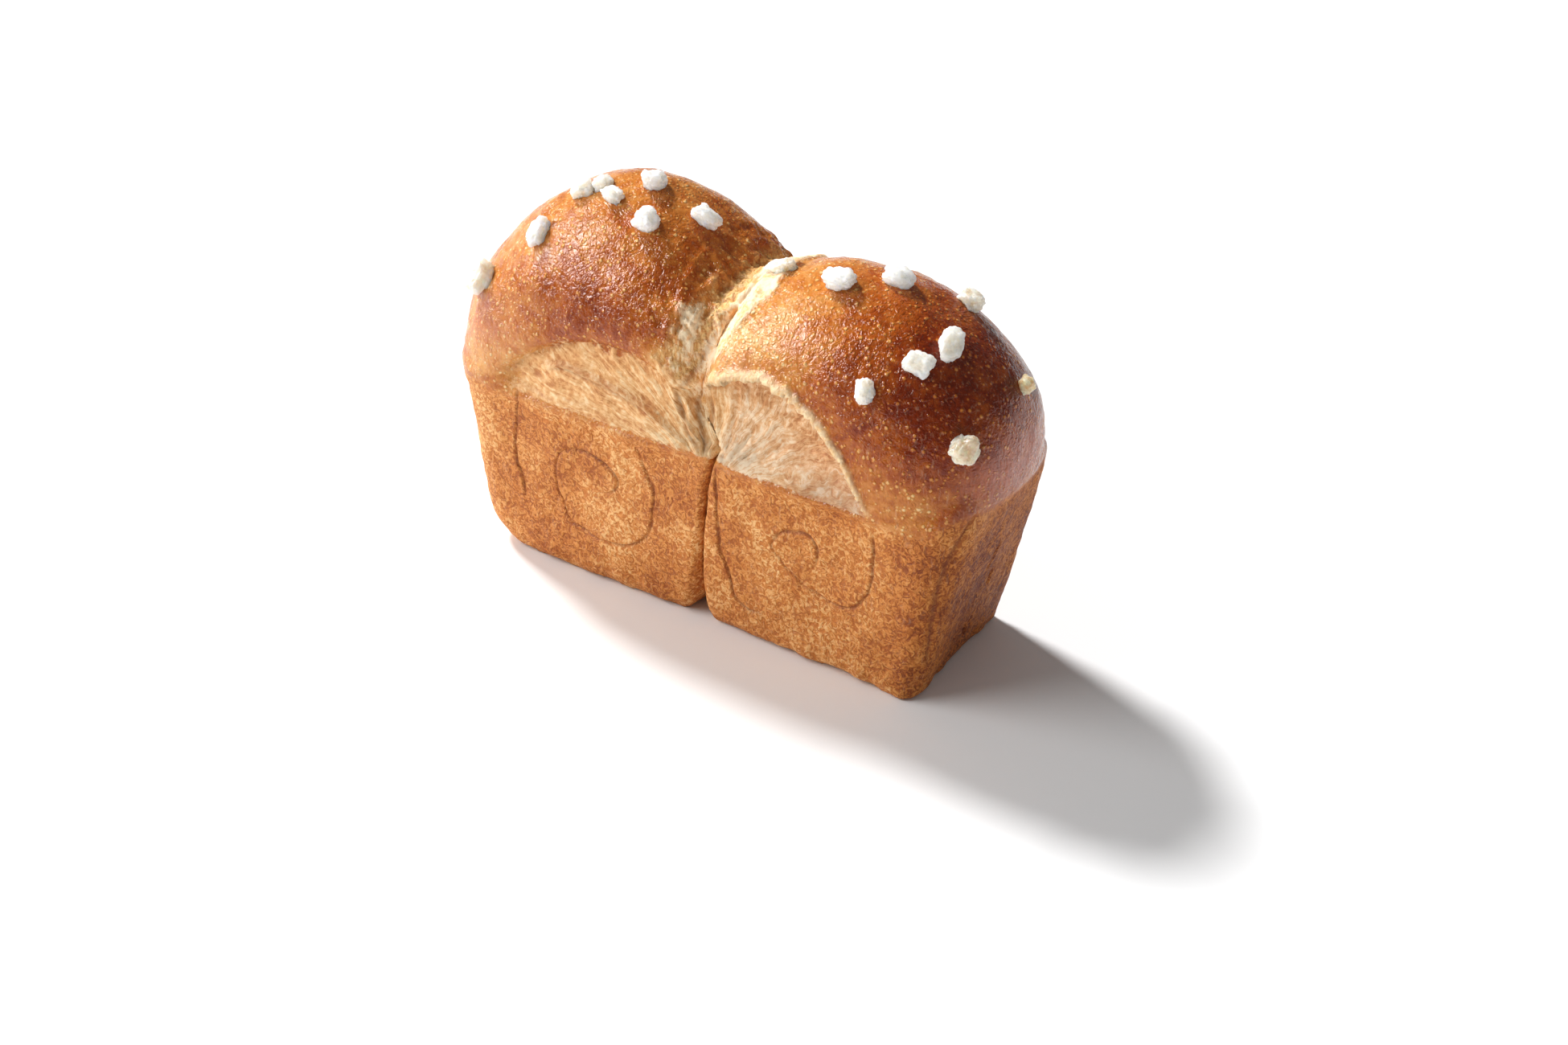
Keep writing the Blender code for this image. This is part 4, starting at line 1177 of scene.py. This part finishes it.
def sugar_material(speckles):
    """White sugar, a little see-through, with glinting grains, toasted where it baked dark."""
    material, tree, shader = new_material("pearl_sugar")
    place = add_node(tree, "ShaderNodeTexCoord").outputs["Object"]
    cloud = noise(tree, place, 1.2 * MM, 3)
    white = mixed(tree, spread(tree, cloud, 0.3, 0.7), *SUGAR_WHITES)
    toast = mixed(tree, spread(tree, cloud, 0.35, 0.65), *SUGAR_BROWNS)
    colour = mixed(tree, stored(tree, "toast"), white, toast)
    tree.links.new(colour, shader.inputs["Base Color"])
    grains = specks(tree, speckles, place, 0.5 * MM, 0.8, 1.0)
    tree.links.new(spread(tree, grains, 0.0, 1.0, 0.5, 0.2), shader.inputs["Roughness"])
    raise_by(tree, shader, times(tree, grains, 0.04), 0.8)
    shader.inputs["Subsurface Weight"].default_value = 1.0
    shader.inputs["Subsurface Radius"].default_value = (1.0, 0.9, 0.75)
    shader.inputs["Subsurface Scale"].default_value = 4.0 * MM
    return material


# The camera, as the picture was taken
PICTURE_SIZE = (1950, 1300)
CAMERA_TURN = 32.55
CAMERA_RISE = 28.85
CAMERA_ROLL = 1.99
CAMERA_DISTANCE = 401.62 * MM
CAMERA_TARGET = (0.0, 0.0, 32.0 * MM)
TARGET_AT = (921.45, 539.09)
FOCAL_PIXELS = 2600.0
SENSOR = 36.0


def place_camera():
    """Puts the camera where the picture was taken from, with the loaf off its middle."""
    turn, rise, roll = (math.radians(a) for a in (CAMERA_TURN, CAMERA_RISE, CAMERA_ROLL))
    level = math.cos(rise)
    back = Vector((math.sin(turn) * level, -math.cos(turn) * level, math.sin(rise)))
    right = Vector((math.cos(turn), math.sin(turn), 0.0))
    up = back.cross(right)
    rolled_right = right * math.cos(roll) + up * math.sin(roll)
    rolled_up = up * math.cos(roll) - right * math.sin(roll)
    aim = Vector(((TARGET_AT[0] - PICTURE_SIZE[0] / 2) / FOCAL_PIXELS,
                  (PICTURE_SIZE[1] / 2 - TARGET_AT[1]) / FOCAL_PIXELS, -1.0)).normalized()
    swing = aim.rotation_difference(Vector((0.0, 0.0, -1.0))).to_matrix()
    axes = Matrix((rolled_right, rolled_up, back)).transposed() @ swing
    deselect_all()
    bpy.ops.object.camera_add()
    camera = bpy.context.object
    target = Vector(CAMERA_TARGET) - Vector(LOAF_MIDDLE)
    camera.matrix_world = Matrix.Translation(target + back * CAMERA_DISTANCE) @ axes.to_4x4()
    camera.data.sensor_width = SENSOR
    camera.data.lens = FOCAL_PIXELS * SENSOR / PICTURE_SIZE[0]
    camera.data.clip_start = 0.01
    bpy.context.scene.camera = camera


# The room: a soft sun from the left and behind, a wide fill in front of it, and a
# soft box whose only work is the shine on the crown
KEY_WAY = (-1.0, 0.33, 1.0)
KEY_SOFT = 11.0
KEY_POWER = 4.2
FILL_WAY = (-0.70, -0.55, 0.58)
FILL_SIZE = 0.7
FILL_POWER = 5.8
SHEEN_WAY = (-0.76, -0.38, 0.56)
SHEEN_SIZE = 0.5
SHEEN_POWER = 15.0
LIGHT_DISTANCE = 0.9
LIGHT_AIM = (0.0, 0.0, 0.035)
ROOM_LIGHT = 0.20
FLOOR_WHITE = (0.93, 0.93, 0.93, 1.0)


def aimed_light(name, way, size, power):
    """A round soft light, the given way from the loaf, turned towards it."""
    deselect_all()
    spot = Vector(way).normalized() * LIGHT_DISTANCE + Vector(LIGHT_AIM)
    bpy.ops.object.light_add(type="AREA", location=spot)
    light = bpy.context.object
    light.name = name
    light.rotation_mode = "QUATERNION"
    light.rotation_quaternion = Vector(way).to_track_quat("Z", "Y")
    light.data.shape = "DISK"
    light.data.size = size
    light.data.energy = power
    return light


def light_stage():
    """White floor and white room, with the sun, the fill and the sheen."""
    deselect_all()
    bpy.ops.mesh.primitive_plane_add(size=12)
    floor = bpy.context.object
    floor.name = "floor"
    material, _, shader = new_material("floor")
    shader.inputs["Base Color"].default_value = FLOOR_WHITE
    shader.inputs["Roughness"].default_value = 0.6
    shader.inputs["Specular IOR Level"].default_value = 0.2
    floor.data.materials.append(material)
    deselect_all()
    bpy.ops.object.light_add(type="SUN")
    sun = bpy.context.object
    sun.name = "key"
    sun.rotation_mode = "QUATERNION"
    sun.rotation_quaternion = Vector(KEY_WAY).to_track_quat("Z", "Y")
    sun.data.angle = math.radians(KEY_SOFT)
    sun.data.energy = KEY_POWER
    sun.visible_glossy = False
    aimed_light("fill", FILL_WAY, FILL_SIZE, FILL_POWER).visible_glossy = False
    aimed_light("sheen", SHEEN_WAY, SHEEN_SIZE, SHEEN_POWER).visible_diffuse = False
    world = bpy.context.scene.world or bpy.data.worlds.new("room")
    bpy.context.scene.world = world
    world.use_nodes = True
    room = world.node_tree.nodes["Background"]
    room.inputs["Color"].default_value = (1.0, 1.0, 1.0, 1.0)
    room.inputs["Strength"].default_value = ROOM_LIGHT
    bpy.context.scene.view_settings.view_transform = "Standard"


speckles = speckle_group()

loaf = make_loaf()
loaf.data.materials.append(loaf_material(speckles))
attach(loaf, "root")
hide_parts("loaf")

sugar = make_sugar()
sugar.data.materials.append(sugar_material(speckles))
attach(sugar, "root")

light_stage()
place_camera()
